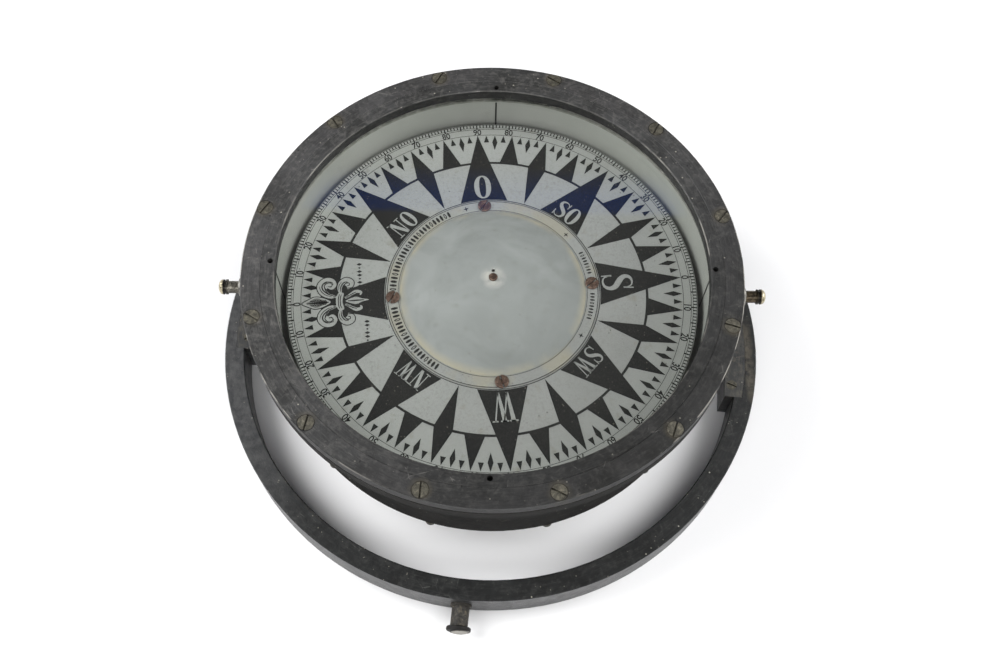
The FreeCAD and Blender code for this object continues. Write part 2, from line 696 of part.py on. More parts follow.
def make_jewel():
    """The hard stone that rests on the pivot ball, its brass cup and the screw on top of the dome."""
    s = size
    stone_under = s.pivot_level + s.ball_radius * 0.4
    stone_top = stone_under + s.jewel_height
    room = ball("jewel_room", s.ball_radius + s.ball_play, s.pivot_level)
    stone = cylinder("jewel_blank", s.jewel_radius, s.jewel_height, 0, 0, stone_under)
    node("pivot_jewel", cut("pivot_jewel", stone, room))
    cup_top = dome_top - s.sheet_metal - 0.15
    node("jewel_cup", turned("jewel_cup", (
        (s.jewel_radius + s.play, stone_under), (s.cup_radius, stone_under), (s.cup_radius, cup_top - 1),
        (s.cup_radius - 1, cup_top), (1.26, cup_top), (1.26, cup_top - 5), (0, cup_top - 5), (0, stone_top),
        (s.jewel_radius + s.play, stone_top),
    )))
    top = dome_top + s.cap_screw_rise
    pin = turned("cap_screw", (
        (0, cup_top - 4.5), (1.2, cup_top - 4.5), (1.2, dome_top), (s.cap_screw_head, dome_top),
        (s.cap_screw_head, top - 0.3), (s.cap_screw_head - 0.4, top), (0, top),
    ))
    slot = Part.makeBox(6, 0.6, 1.2, V(-3, -0.3, top.value - 0.5))
    slot.rotate(V(0, 0, 0), Z_AXIS, 25)
    node("cap_screw", gathered("cap_screw_cut", [solids_of(pin)[0].cut(slot)]))


def make_magnets():
    """Six magnet tubes under the card, parallel to its north line, in four brackets."""
    s = size
    turn = s.card_turn.value
    tubes = []
    for side in SIDES:
        for k in range(3):
            half = s.magnet_half.value - k * s.magnet_step.value
            y = side * (s.magnet_first.value + k * s.magnet_pitch.value)
            tube = Part.makeCylinder(s.magnet_radius.value, 2 * half, V(-half, y, s.magnet_level.value), X_AXIS)
            tubes.append(turned_copy(tube, turn))
    node("magnet_tubes", gathered("magnet_tubes", tubes))
    brackets = []
    thick = s.bracket_thick.value
    foot = s.magnet_level.value - 4
    first = s.magnet_first.value - 3.6
    width = 2 * s.magnet_pitch.value + 7.4
    for side in SIDES:
        for end in SIDES:
            low_y = first if side > 0 else -first - width
            plate = Part.makeBox(thick, width, card_under.value - foot,
                                 V(end * s.bracket_place.value - thick / 2, low_y, foot))
            for k in range(3):
                y = side * (s.magnet_first.value + k * s.magnet_pitch.value)
                hole = Part.makeCylinder(s.magnet_radius.value + 0.05, 60,
                                         V(end * s.bracket_place.value - 30, y, s.magnet_level.value), X_AXIS)
                plate = plate.cut(hole)
            brackets.append(turned_copy(plate, turn))
    node("magnet_brackets", gathered("magnet_brackets", brackets))


# ---------------------------------------------------------------- gimbal ring
def turned_with_ring(name, shapes):
    """Turns pieces clockwise with the gimbal ring."""
    return node(name, gathered(name, [turned_copy(shape, -size.ring_turn.value) for shape in shapes]))


def notch_tool(radius, start, end):
    """A round-bottomed, outward-sloping notch along +X, open to the top of the ring."""
    s = size
    level = s.bearing_level.value
    top = s.ring_height.value + 1
    height = top - level
    spread = radius + s.notch_slope.value * height
    outline = Part.makePolygon([
        V(start, -radius, level), V(start, radius, level), V(start, spread, top), V(start, -spread, top),
        V(start, -radius, level),
    ])
    sides = Part.Face(outline).extrude(V(end - start, 0, 0))
    bottom = Part.makeCylinder(radius, end - start, V(start, 0, level), X_AXIS)
    return sides.fuse(bottom)


def keeper_blank(play):
    """The plate over one bearing: flat inside, round outside; play makes the seat it lies in."""
    s = size
    low = s.ring_height.value - s.keeper_height.value
    half = s.pad_half.value + play
    start = s.pad_face.value - (play * 5)
    plate = Part.makeBox(60, 2 * half, s.keeper_height.value + play, V(start, -half, low))
    reach = Part.makeCylinder(s.pocket_end.value + play, 2 * s.ring_height.value)
    return plate.common(reach)


def keeper_screw(side, play, length):
    """One countersunk keeper screw; play makes its hole."""
    s = size
    x = s.keeper_screw_depth.value
    y = side * s.keeper_screw_place.value
    top = s.ring_height.value
    head = Part.makeCone(s.keeper_screw_shank.value + play, s.keeper_screw_head.value + play, 1.4,
                         V(x, y, top - 1.8))
    rim = Part.makeCylinder(s.keeper_screw_head.value + play, 0.4 + play, V(x, y, top - 0.4))
    shank = Part.makeCylinder(s.keeper_screw_shank.value + play, length + play, V(x, y, top - length - play))
    return head.fuse([rim, shank]).removeSplitter()


def make_ring():
    """The gimbal ring: a square-section hoop with two bearing pads, their notches and keeper seats."""
    s = size
    b = s.ring_bevel
    hoop = turned("hoop", (
        (s.ring_inner, b), (s.ring_inner + b, 0), (s.ring_outer - b, 0), (s.ring_outer, b),
        (s.ring_outer, s.ring_height - b), (s.ring_outer - b, s.ring_height),
        (s.ring_inner + b, s.ring_height), (s.ring_inner, s.ring_height - b),
    ))
    shape = solids_of(hoop)[0]
    reach = Part.makeCylinder((s.ring_inner.value + s.ring_outer.value) / 2, s.ring_height.value)
    pad = Part.makeBox(30, 2 * s.pad_half.value, s.ring_height.value, V(s.pad_face.value, -s.pad_half.value, 0))
    pad = pad.common(reach)
    shape = shape.fuse([pad, turned_copy(pad, 180)]).removeSplitter()
    neck_room = notch_tool(s.trunnion_radius.value + s.notch_play.value, s.pad_face.value - 1,
                           s.pocket_start.value)
    head_room = notch_tool(s.pocket_radius.value, s.pocket_start.value, s.pocket_end.value)
    tools = [neck_room, head_room, keeper_blank(s.keeper_play.value)]
    tools += [keeper_screw(side, s.play.value, s.keeper_screw_length.value) for side in SIDES]
    for tool in tools:
        shape = shape.cut(tool)
        shape = shape.cut(turned_copy(tool, 180))
    for angle in (90, -90):
        bore = Part.makeCylinder(s.journal_shank.value + 0.02, 30,
                                 V(s.journal_shank_start.value, 0, s.bearing_level.value), X_AXIS)
        shape = shape.cut(turned_copy(bore, angle))
    turned_with_ring("gimbal_ring", shape.Solids)


def make_keepers():
    """A keeper plate with two slotted screws over each bearing."""
    s = size
    for side, turn, slots in (("right", 0, (62, -20)), ("left", 180, (40, 15))):
        plate = keeper_blank(0)
        screws = []
        for screw_side, slot_turn in zip(SIDES, slots):
            plate = plate.cut(keeper_screw(screw_side, s.play.value, s.keeper_screw_length.value))
            piece = keeper_screw(screw_side, 0, s.keeper_screw_length.value)
            slot = Part.makeBox(8, 0.8, 2, V(-4, -0.4, -0.9))
            slot.rotate(V(0, 0, 0), Z_AXIS, slot_turn)
            slot.translate(V(s.keeper_screw_depth.value, screw_side * s.keeper_screw_place.value,
                             s.ring_height.value))
            screws.append(turned_copy(piece.cut(slot), turn))
        turned_with_ring("keeper_%s" % side, [turned_copy(plate, turn)])
        turned_with_ring("keeper_screws_%s" % side, screws)


def make_journals():
    """The two outer journals, which hang the ring in its binnacle: shoulder, neck and flanged end."""
    s = size
    shoulder_start = s.ring_outer - 0.6
    outline = [
        (0, s.journal_shank_start + 0.5), (s.journal_shank, s.journal_shank_start + 0.5),
        (s.journal_shank, shoulder_start), (s.journal_shoulder, shoulder_start),
        (s.journal_shoulder, s.journal_shoulder_end), (s.journal_radius, s.journal_shoulder_end),
        (s.journal_radius, s.journal_neck_end), (s.journal_flange - 0.4, s.journal_neck_end),
        (s.journal_flange, s.journal_neck_end + 0.5), (s.journal_flange, s.journal_flange_end - 0.5),
        (s.journal_flange - 0.4, s.journal_flange_end), (s.journal_dome, s.journal_flange_end),
    ]
    rise = s.journal_end - s.journal_flange_end
    for degrees in (30, 60):
        angle = math.radians(degrees)
        outline.append((s.journal_dome * math.cos(angle), s.journal_flange_end + rise * math.sin(angle)))
    outline.append((0, s.journal_end))
    laid = laid_along_x("journal_laid", turned("journal_turned", outline), s.bearing_level)
    wall = Part.makeCylinder(s.ring_outer.value + 0.02, 2 * s.ring_height.value)
    shank = Part.makeCylinder(s.journal_shank.value, 300, V(0, 0, s.bearing_level.value), X_AXIS)
    journal = laid.Shape.Solids[0].cut(wall.cut(shank))
    turned_with_ring("ring_journals", [turned_copy(journal, 90), turned_copy(journal, -90)])


# ---------------------------------------------------------------- the whole compass
def build():
    s = size
    bezel_holes = round_copies("bezel_holes", bezel_screw_hole(), SCREWS_ROUND, FIRST_SCREW)
    make_bezel(bezel_holes)
    make_bezel_screws()

    flange_hole = cylinder("flange_hole", s.flange_screw_shank + s.play, s.flange_screw_length + 2,
                           s.flange_screw_circle, 0, s.flange_foot - 1)
    flange_holes = round_copies("flange_holes", flange_hole, SCREWS_ROUND, FIRST_SCREW)
    spigot_hole = side_hole("spigot_hole", s.boss_spigot + s.play, s.barrel_bore + 0.35,
                            s.barrel_radius + 1, s.pivot_level)
    spigot_holes = round_copies("spigot_holes", spigot_hole, 2)
    plug_side = side_hole("plug_side", s.plug_radius + s.play, s.barrel_bore - 1, s.barrel_radius + 1,
                          s.plug_level)
    plug_hole = round_copies("plug_hole", plug_side, 1, 90)
    make_bowl(bezel_holes, flange_holes, spigot_holes, plug_hole)
    make_glass()
    make_liner()
    make_floor()
    make_pivot()
    make_diaphragm()
    make_base(flange_holes)
    make_flange_screws()
    make_ballast()
    make_filler()
    make_bosses()
    make_trunnions()

    card_hole = cylinder("card_hole", s.card_screw_shank + s.play, 10, s.card_screw_circle, 0,
                         s.card_level - 5)
    card_holes = round_copies("card_holes", card_hole, 4)
    make_card_disc(card_holes)
    make_card_band(card_holes)
    make_card_screws()
    make_float(card_holes)
    make_jewel()
    make_magnets()

    make_ring()
    make_keepers()
    make_journals()


def check_and_write():
    """Every object must be sound, and every piece a valid solid, before a file is written."""
    doc.recompute()
    for obj in doc.Objects:
        if "Invalid" in obj.State or "Error" in obj.State:
            raise RuntimeError("%s is %s" % (obj.Label, obj.State))
    for label, obj in NODES.items():
        shape = obj.Shape
        if shape.isNull() or not shape.isValid() or not shape.Solids:
            raise RuntimeError("%s has no valid solid" % label)
        if any(solid.Volume <= 0 for solid in shape.Solids):
            raise RuntimeError("%s is inside out" % label)
    os.makedirs("parts", exist_ok=True)
    for label, obj in NODES.items():
        obj.Shape.exportStep("parts/%s.step" % label)
        low = obj.Shape.BoundBox
        print("%-20s solids %2d  volume %10.1f  z %.2f to %.2f  r %.2f" % (
            label, len(obj.Shape.Solids), obj.Shape.Volume, low.ZMin, low.ZMax, low.XMax))


build()
check_and_write()
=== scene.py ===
import math

import bmesh
import bpy
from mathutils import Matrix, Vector
from mathutils.geometry import tessellate_polygon


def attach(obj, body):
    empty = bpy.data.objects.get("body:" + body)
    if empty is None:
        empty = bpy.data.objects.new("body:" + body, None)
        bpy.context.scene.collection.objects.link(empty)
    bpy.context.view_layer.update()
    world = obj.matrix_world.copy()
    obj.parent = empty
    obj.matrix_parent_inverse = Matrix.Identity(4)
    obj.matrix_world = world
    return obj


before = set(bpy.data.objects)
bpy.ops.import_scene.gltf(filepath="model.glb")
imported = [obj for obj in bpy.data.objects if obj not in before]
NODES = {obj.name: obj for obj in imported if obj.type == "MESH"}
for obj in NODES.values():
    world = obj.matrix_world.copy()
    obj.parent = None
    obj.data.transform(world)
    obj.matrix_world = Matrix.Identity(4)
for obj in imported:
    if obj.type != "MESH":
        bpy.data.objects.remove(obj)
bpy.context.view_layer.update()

MM = 0.001

# ------------------------------------------------------------------ bezel and card, in millimetres
BEZEL_TOP = 101.7           # top of the bezel, above the table
SCREW_CIRCLE = 120.8        # bezel screws: one every SCREW_STEP degrees, the first half a step after +X
SCREW_STEP = 30.0
CARD_TOP = 75.0             # upper face of the card
CARD_NORTH = 185.8          # direction of the card's north from +X, in degrees
BAND_TOP = 75.3             # upper face of the band round the float
INK_HIGH = 0.05             # a print ends this far above the face it is on
INK_LOW = -0.03             # and starts this far below it
SECOND_COAT = -0.02         # white on black starts this far below the black's top
POINT_GAIN = 0.001          # the points stand this far above the rules they cross

CARD_RULES = ((105.95, 106.2), (104.0, 104.22), (103.0, 103.25), (98.98, 99.22), (79.6, 80.9), (55.55, 55.95))
TICK_END = 106.1            # outer end of the degree marks
TICKS = ((10, 0.36, 102.95), (5, 0.36, 103.1), (1, 0.31, 104.1))  # every so many degrees: half width, inner end
POINT_TIP = 98.9            # tip of every large point
POINT_FOOT = 56.2           # inner end of the 16 longest points
POINT_SPREAD = 13           # half the angle of a main point's foot, in degrees
KITE_WAIST = (4.94, 80.3)   # half width and place of the waist of the 8 half points
BY_POINT_FOOT = (5.08, 80.7)
SMALL_TIP = 98.7            # tip of the small points and lozenges of the edge
SMALL_WAIST = (1.45, 94.1)
LOZENGE_END = 88.8

NUMBER_FOOT = 99.4          # foot of the edge numbers
NUMBER_TALL = 3.5
NUMBER_SQUEEZE = 0.9
NUMBER_BOLD = 0.016         # how far the font's outline is moved outward, at size 1
FONT_TALL = 0.69            # height of a figure of the built-in font, at size 1

BAND_RULES = ((54.5, 54.8), (48.95, 49.2))
BAND_MIDDLE = 51.8          # middle of the band's ornaments
STAR_PLACES = (42, 107, -29)  # angles of the band's stars from +X, in degrees

# ------------------------------------------------------------------ stage, camera and light
FLOOR_SIZE = 30.0           # metres
FLOOR_DROP = 0.0004         # the floor lies this far below the foot, so that the two never share a plane

EYE_ELEVATION = 1.11370     # radians; this and the next four were solved from the bezel's circles
EYE_ROLL = 0.040344
EYE_YAW = -1.4              # degrees
EYE_SHIFT = (-3.2378, 34.2552, 533.2746)  # bezel centre in the camera's own axes, millimetres
FOCAL_PIXELS = 1072.84
FRAME_PIXELS = 1000.0
SENSOR = 36.0

WALL_LIGHT = 0.55           # strength of the world near the horizon
CEILING_LIGHT = 0.1         # and overhead, where the glass mirrors it
FADE = (0.25, 0.92)         # heights (0 horizon, 1 overhead) between which one turns into the other
BEAM_NEAR = (0.638, 0.645)  # slopes y/z of the sky direction where the blue beam begins and ends
BEAM_FAR = (0.700, 0.664)
BEAM_COLOUR = (0.02, 0.5, 3.0, 1)
# soft boxes: name, place, target, size (metres) and power (watts)
BOXES = (
    ("box_-1", (-1.3, 0.2, 1.2), (0, 0, 0.05), (1.0, 1.3), 35),
    ("box_1", (1.3, 0.2, 1.2), (0, 0, 0.05), (1.0, 1.3), 28),
    ("box_front", (0, -1.1, 1.15), (0, 0.05, 0.05), (1.5, 0.6), 14),
)


# ------------------------------------------------------------------ material nodes
class Tree:
    """Short calls for building a node tree."""

    def __init__(self, name):
        self.mat = bpy.data.materials.new(name)
        self.mat.use_nodes = True
        self.tree = self.mat.node_tree
        self.tree.nodes.clear()
        self.out = self.add("ShaderNodeOutputMaterial")
        self.coords = self.add("ShaderNodeTexCoord").outputs["Object"]

    def add(self, kind, **props):
        node = self.tree.nodes.new(kind)
        for key, value in props.items():
            setattr(node, key, value)
        return node

    def link(self, source, socket):
        self.tree.links.new(source, socket)

    def put(self, value, socket):
        """Links another node's output, or sets a plain value."""
        if isinstance(value, bpy.types.NodeSocket):
            self.link(value, socket)
        else:
            socket.default_value = value

    def math(self, op, a, b=0.0, c=None):
        node = self.add("ShaderNodeMath", operation=op)
        self.put(a, node.inputs[0])
        self.put(b, node.inputs[1])
        if c is not None:
            self.put(c, node.inputs[2])
        return node.outputs[0]

    def times(self, a, b):
        return self.math("MULTIPLY", a, b)

    def noise(self, scale, detail=4.0, rough=0.55, coords=None, distortion=0.0):
        """Noise with features about 1/scale metres across."""
        node = self.add("ShaderNodeTexNoise")
        self.link(coords or self.coords, node.inputs["Vector"])
        node.inputs["Scale"].default_value = scale
        node.inputs["Detail"].default_value = detail
        node.inputs["Roughness"].default_value = rough
        node.inputs["Distortion"].default_value = distortion
        return node.outputs["Fac"]

    def cells(self, scale, feature="F1"):
        """Distance to the nearest of many scattered points, or with DISTANCE_TO_EDGE to the edges between them."""
        node = self.add("ShaderNodeTexVoronoi", feature=feature)
        self.link(self.coords, node.inputs["Vector"])
        node.inputs["Scale"].default_value = scale
        return node.outputs["Distance"]

    def ramp(self, value, low, high):
        """0 at low, 1 at high, straight in between; low may be above high."""
        node = self.add("ShaderNodeMapRange", clamp=True)
        self.put(value, node.inputs["Value"])
        node.inputs["From Min"].default_value = low
        node.inputs["From Max"].default_value = high
        return node.outputs["Result"]

    def mix(self, fac, a, b):
        """Colour a where fac is 0, b where it is 1."""
        node = self.add("ShaderNodeMix", data_type="RGBA")
        self.put(fac, node.inputs[0])
        self.put(self.colour(a), node.inputs[6])
        self.put(self.colour(b), node.inputs[7])
        return node.outputs[2]

    def cover(self, colour, over, where, amount):
        """The colour with another laid over it, by a mask and an amount."""
        return self.mix(self.times(where, amount), colour, over)

    @staticmethod
    def colour(value):
        return value if isinstance(value, bpy.types.NodeSocket) else (*value[:3], 1.0)

    def xyz(self):
        node = self.add("ShaderNodeSeparateXYZ")
        self.link(self.coords, node.inputs[0])
        return node.outputs

    def length(self, a, b):
        return self.math("SQRT", self.math("ADD", self.times(a, a), self.times(b, b)))

    def radius(self):
        """Distance from the bowl's upright axis."""
        x, y, _ = self.xyz()
        return self.length(x, y)

    def bump(self, height, strength, distance, base=None):
        node = self.add("ShaderNodeBump")
        node.inputs["Strength"].default_value = strength
        node.inputs["Distance"].default_value = distance
        self.link(height, node.inputs["Height"])
        if base is not None:
            self.link(base, node.inputs["Normal"])
        return node.outputs["Normal"]

    def surface(self, colour, rough, metallic=0.0, normal=None, **sockets):
        node = self.add("ShaderNodeBsdfPrincipled")
        self.put(self.colour(colour), node.inputs["Base Color"])
        self.put(rough, node.inputs["Roughness"])
        self.put(metallic, node.inputs["Metallic"])
        if normal is not None:
            self.link(normal, node.inputs["Normal"])
        for key, value in sockets.items():
            node.inputs[key.replace("_", " ")].default_value = value
        self.link(node.outputs[0], self.out.inputs[0])
        return self.mat


def srgb(r, g, b):
    """A colour seen on screen as 0-255 numbers, as linear light."""
    def one(c):
        c /= 255.0
        return c / 12.92 if c <= 0.04045 else ((c + 0.055) / 1.055) ** 2.4
    return (one(r), one(g), one(b))


def old_metal(name, dark, mid, light, metallic, rough, speck=0.0, grain=1.0):
    """Oxidised metal: broad clouds, small blotches, fine grain, scratches, pale specks and dark pits."""
    t = Tree(name)
    broad = t.noise(32, 4, 0.6, distortion=0.6)
    blotch = t.noise(150, 5, 0.65, distortion=1.2)
    middle = t.noise(420, 4, 0.6)
    fine = t.noise(1300, 3, 0.6)
    colour = t.mix(t.ramp(broad, 0.36, 0.62), dark, mid)
    colour = t.cover(colour, light, t.ramp(blotch, 0.52, 0.74), 0.38)
    colour = t.cover(colour, [c * 0.5 for c in dark], t.ramp(blotch, 0.46, 0.28), 0.4)
    colour = t.cover(colour, light, t.ramp(middle, 0.52, 0.74), 0.4 * grain)
    colour = t.cover(colour, (0.006, 0.006, 0.006), t.ramp(fine, 0.45, 0.25), 0.45 * grain)
    line = t.ramp(t.cells(75, "DISTANCE_TO_EDGE"), 0.016, 0.004)
    some = t.times(t.ramp(t.noise(60, 2, 0.5), 0.56, 0.62), t.ramp(blotch, 0.45, 0.6))
    scratch = t.times(line, some)
    colour = t.cover(colour, [min(1.0, c * 2.2) for c in light], scratch, 0.45 * grain)
    if speck:
        spots = t.ramp(t.cells(330), 0.16, 0.08)
        some = t.ramp(t.noise(110, 3, 0.6), 0.55, 0.6)
        colour = t.cover(colour, srgb(176, 172, 160), t.times(spots, some), speck)
        pits = t.times(t.ramp(t.cells(210), 0.14, 0.07), t.ramp(t.noise(95, 3, 0.6), 0.47, 0.42))
        colour = t.cover(colour, (0.004, 0.004, 0.004), pits, 0.8)
    # marks of the lathe: noise drawn out round the axis
    x, y, z = t.xyz()
    turned = t.add("ShaderNodeCombineXYZ")
    t.link(t.times(t.math("ARCTAN2", y, x), 0.012), turned.inputs[0])
    t.link(t.radius(), turned.inputs[1])
    t.link(z, turned.inputs[2])
    marks = t.noise(1500, 3, 0.6, coords=turned.outputs[0])
    colour = t.cover(colour, light, t.ramp(marks, 0.52, 0.72), 0.24)
    colour = t.cover(colour, [c * 0.5 for c in dark], t.ramp(marks, 0.48, 0.3), 0.26)
    roughness = t.math("ADD", t.times(blotch, 0.3), rough - 0.15)
    normal = t.bump(fine, 0.3 * grain, 0.0002)
    normal = t.bump(marks, 0.15, 0.0002, normal)
    normal = t.bump(blotch, 0.4, 0.0004, normal)
    return t, colour, roughness, metallic, normal


def finish_metal(parts, specular=0.5):
    t, colour, roughness, metallic, normal = parts
    return t.surface(colour, roughness, metallic, normal, Specular_IOR_Level=specular)


# ------------------------------------------------------------------ materials
def bezel_material():
    """Old gunmetal: painted shade down its side, in its bore, towards the near right and round the screws, a smear
    of dirt by the screws, and worn edges with a painted highlight to the left and right.
    """
    t, colour, roughness, metallic, normal = old_metal(
        "bezel_gunmetal", srgb(43, 43, 42), srgb(62, 62, 62), srgb(108, 106, 103), 0.3, 0.45, 0.8)
    r = t.radius()
    x, y, z = t.xyz()
    worn = t.noise(60, 3, 0.6)
    # each zone fades in between two distances from the axis, or two heights, in metres
    outer = t.times(t.ramp(r, 0.1153, 0.1155), t.ramp(t.noise(24, 3), 0.4, 0.6))
    colour = t.cover(colour, srgb(80, 78, 79), outer, 0.25)
    # painted shade: darker towards the near right
    dark = t.ramp(t.math("SUBTRACT", y, t.times(x, 0.8)), 0.03, -0.13)
    colour = t.cover(colour, srgb(16, 16, 15), dark, 0.62)
    # painted shade on the outer side wall below the top
    side = t.times(t.ramp(z, 0.1013, 0.1009), t.ramp(r, 0.1240, 0.1246))
    colour = t.cover(colour, srgb(14, 14, 13), side, 0.7)
    # painted shade on the wall of the bore, down to the glass
    bore_shade = t.times(t.ramp(z, 0.1014, 0.1010), t.ramp(r, 0.1092, 0.1088))
    colour = t.cover(colour, srgb(22, 22, 21), bore_shade, 0.6)
    # painted highlight: the edge and lip marks are made stronger to the left and right
    side_highlight = t.ramp(t.math("ABSOLUTE", x), 0.03, 0.09)
    # worn pale metal on the outer edge, kept to the left and right where it is also a painted highlight
    edge = t.times(t.ramp(r, 0.12442, 0.12475), t.ramp(z, 0.1010, 0.1014))
    edge = t.times(edge, side_highlight)
    colour = t.cover(colour, srgb(150, 147, 140), edge, t.ramp(worn, 0.46, 0.56))
    # worn pale metal on the lip of the bore, stronger to the left and right as a painted highlight
    lip_wear_and_highlight = t.times(t.ramp(r, 0.10895, 0.1087), t.ramp(z, 0.1009, 0.1012))
    lip_wear_and_highlight = t.times(lip_wear_and_highlight, t.times(t.ramp(worn, 0.44, 0.58), t.math("ADD", side_highlight, 0.2)))
    colour = t.cover(colour, srgb(120, 118, 112), lip_wear_and_highlight, 0.6)
    # painted shade in the gap round each screw head, found from the angle round the bezel, with a smear of dirt
    # beside it
    angle = t.math("ARCTAN2", y, x)
    step = math.radians(SCREW_STEP)
    along = t.math("SUBTRACT", t.math("MODULO", t.math("ADD", angle, 2 * math.pi), step), step / 2)
    along = t.times(along, SCREW_CIRCLE * MM)
    across = t.math("SUBTRACT", r, SCREW_CIRCLE * MM)
    gap = t.length(along, across)
    # painted shade: a near-black ring round each head
    ring = t.times(t.ramp(gap, 0.0036, 0.0038), t.ramp(gap, 0.00445, 0.0040))
    colour = t.cover(colour, (0.003, 0.003, 0.003), ring, t.ramp(t.noise(300, 3), 0.3, 0.5))
    smear = t.times(t.ramp(gap, 0.0065, 0.0042), t.ramp(worn, 0.4, 0.6))
    colour = t.cover(colour, srgb(96, 88, 70), smear, 0.25)
    return t.surface(colour, roughness, metallic, normal, Specular_IOR_Level=0.3)


def ring_material():
    """Gunmetal, nearly black on top, with painted light making its upright sides and its left part paler, brown
    beside the right keeper.
    """
    t, colour, roughness, metallic, normal = old_metal(
        "ring_gunmetal", srgb(19, 20, 20), srgb(31, 32, 32), srgb(64, 64, 62), 0.25, 0.42, 1.0)
    x, y, _ = t.xyz()
    # painted light: faces that stand upright are made paler than the top
    facing = t.add("ShaderNodeSeparateXYZ")
    t.link(t.add("ShaderNodeNewGeometry").outputs["True Normal"], facing.inputs[0])
    upright = t.ramp(t.math("ABSOLUTE", facing.outputs[2]), 0.7, 0.3)
    pale = t.mix(t.ramp(t.noise(180, 4, 0.6), 0.35, 0.65), srgb(54, 55, 57), srgb(92, 92, 92))
    colour = t.cover(colour, pale, upright, 0.55)
    # painted light: paler towards the left
    left = t.ramp(x, -0.09, -0.135)
    colour = t.cover(colour, pale, left, 0.6)
    dust = t.times(t.ramp(t.cells(480), 0.2, 0.1), t.ramp(t.noise(150, 3), 0.56, 0.62))
    colour = t.cover(colour, srgb(150, 146, 134), dust, 0.5)
    patch = t.times(t.ramp(x, 0.1405, 0.1425), t.ramp(x, 0.1475, 0.1445))
    patch = t.times(patch, t.times(t.ramp(y, -0.042, -0.030), t.ramp(y, 0.016, 0.002)))
    patch = t.times(patch, t.ramp(t.noise(220, 4, 0.6), 0.34, 0.56))
    colour = t.cover(colour, srgb(98, 92, 80), patch, 0.6)
    return t.surface(colour, roughness, metallic, normal, Specular_IOR_Level=0.4)


def glass_material():
    """Clear plate glass: each face mirrors 4 % seen square on and more seen flatter, the same from both sides."""
    t = Tree("clear_glass")
    weight = t.add("ShaderNodeLayerWeight")
    weight.inputs["Blend"].default_value = 0.5
    flat = t.math("POWER", weight.outputs["Facing"], 5.0)
    mirrored = t.math("MULTIPLY_ADD", flat, 0.96, 0.04)
    clear = t.add("ShaderNodeBsdfTransparent")
    clear.inputs["Color"].default_value = (0.95, 0.956, 0.953, 1)
    gloss = t.add("ShaderNodeBsdfGlossy")
    gloss.inputs["Roughness"].default_value = 0.02
    gloss.inputs["Color"].default_value = (1, 1, 1, 1)
    mix = t.add("ShaderNodeMixShader")
    t.link(mirrored, mix.inputs[0])
    t.link(clear.outputs[0], mix.inputs[1])
    t.link(gloss.outputs[0], mix.inputs[2])
    t.link(mix.outputs[0], t.out.inputs[0])
    return t.mat


def card_material():
    """Aged paint on the card: soft clouds, grain, small dark specks and a few yellowish stains, with painted light
    making it paler to the far side, to the left and towards its edge.
    """
    t = Tree("card_enamel")
    broad = t.noise(18, 3, 0.5)
    fine = t.noise(900, 3, 0.65)
    r = t.radius()
    x, y, _ = t.xyz()
    left = t.ramp(x, 0.02, -0.09)
    colour = t.mix(t.ramp(broad, 0.3, 0.7), srgb(127, 128, 125), srgb(138, 139, 136))
    # painted light: paler towards the far side
    colour = t.mix(t.ramp(y, -0.03, 0.09), colour, srgb(147, 149, 147))
    # painted light: paler towards the left
    colour = t.mix(left, colour, srgb(152, 154, 150))
    colour = t.cover(colour, srgb(106, 106, 100), t.ramp(fine, 0.5, 0.72), 0.45)
    # painted light: paler towards the edge, and more so on the left
    rim = t.times(t.ramp(r, 0.078, 0.104), 0.8)
    colour = t.mix(rim, colour, t.mix(left, srgb(162, 164, 159), srgb(190, 192, 186)))
    stain = t.times(t.ramp(t.noise(120, 4, 0.6), 0.6, 0.72), 0.4)
    colour = t.mix(stain, colour, srgb(118, 112, 96))
    on_band = t.times(t.ramp(r, 0.0556, 0.0550), t.ramp(t.noise(60, 3), 0.42, 0.6))
    colour = t.cover(colour, srgb(150, 144, 124), on_band, 0.5)
    spots = t.times(t.ramp(t.cells(260), 0.12, 0.06), t.ramp(t.noise(70, 3), 0.52, 0.6))
    colour = t.cover(colour, srgb(52, 49, 43), spots, 0.75)
    return t.surface(colour, 0.5, 0.0, t.bump(fine, 0.15, 0.0001), Specular_IOR_Level=0.3)


def ink_material():
    """Black print with tiny pale specks where it has flaked."""
    t = Tree("card_ink")
    fine = t.noise(1100, 3, 0.65)
    colour = t.mix(t.ramp(t.noise(30, 3), 0.3, 0.7), srgb(15, 15, 14), srgb(24, 24, 22))
    spots = t.times(t.ramp(t.cells(520), 0.2, 0.1), t.ramp(t.noise(130, 3), 0.5, 0.6))
    colour = t.cover(colour, srgb(120, 116, 104), spots, 0.6)
    colour = t.cover(colour, srgb(62, 60, 54), t.ramp(fine, 0.5, 0.75), 0.3)
    return t.surface(colour, 0.6, 0.0, t.bump(fine, 0.2, 0.0001), Specular_IOR_Level=0.25)


def liner_material():
    """Grey-white paint inside the bowl, softly stained."""
    t = Tree("liner_enamel")
    broad = t.noise(22, 4, 0.55)
    middle = t.noise(90, 4, 0.6)
    colour = t.mix(t.ramp(broad, 0.35, 0.68), srgb(168, 170, 163), srgb(180, 181, 175))
    colour = t.cover(colour, srgb(140, 140, 130), t.ramp(middle, 0.58, 0.75), 0.25)
    return t.surface(colour, 0.4, 0.0, t.bump(middle, 0.08, 0.0004))


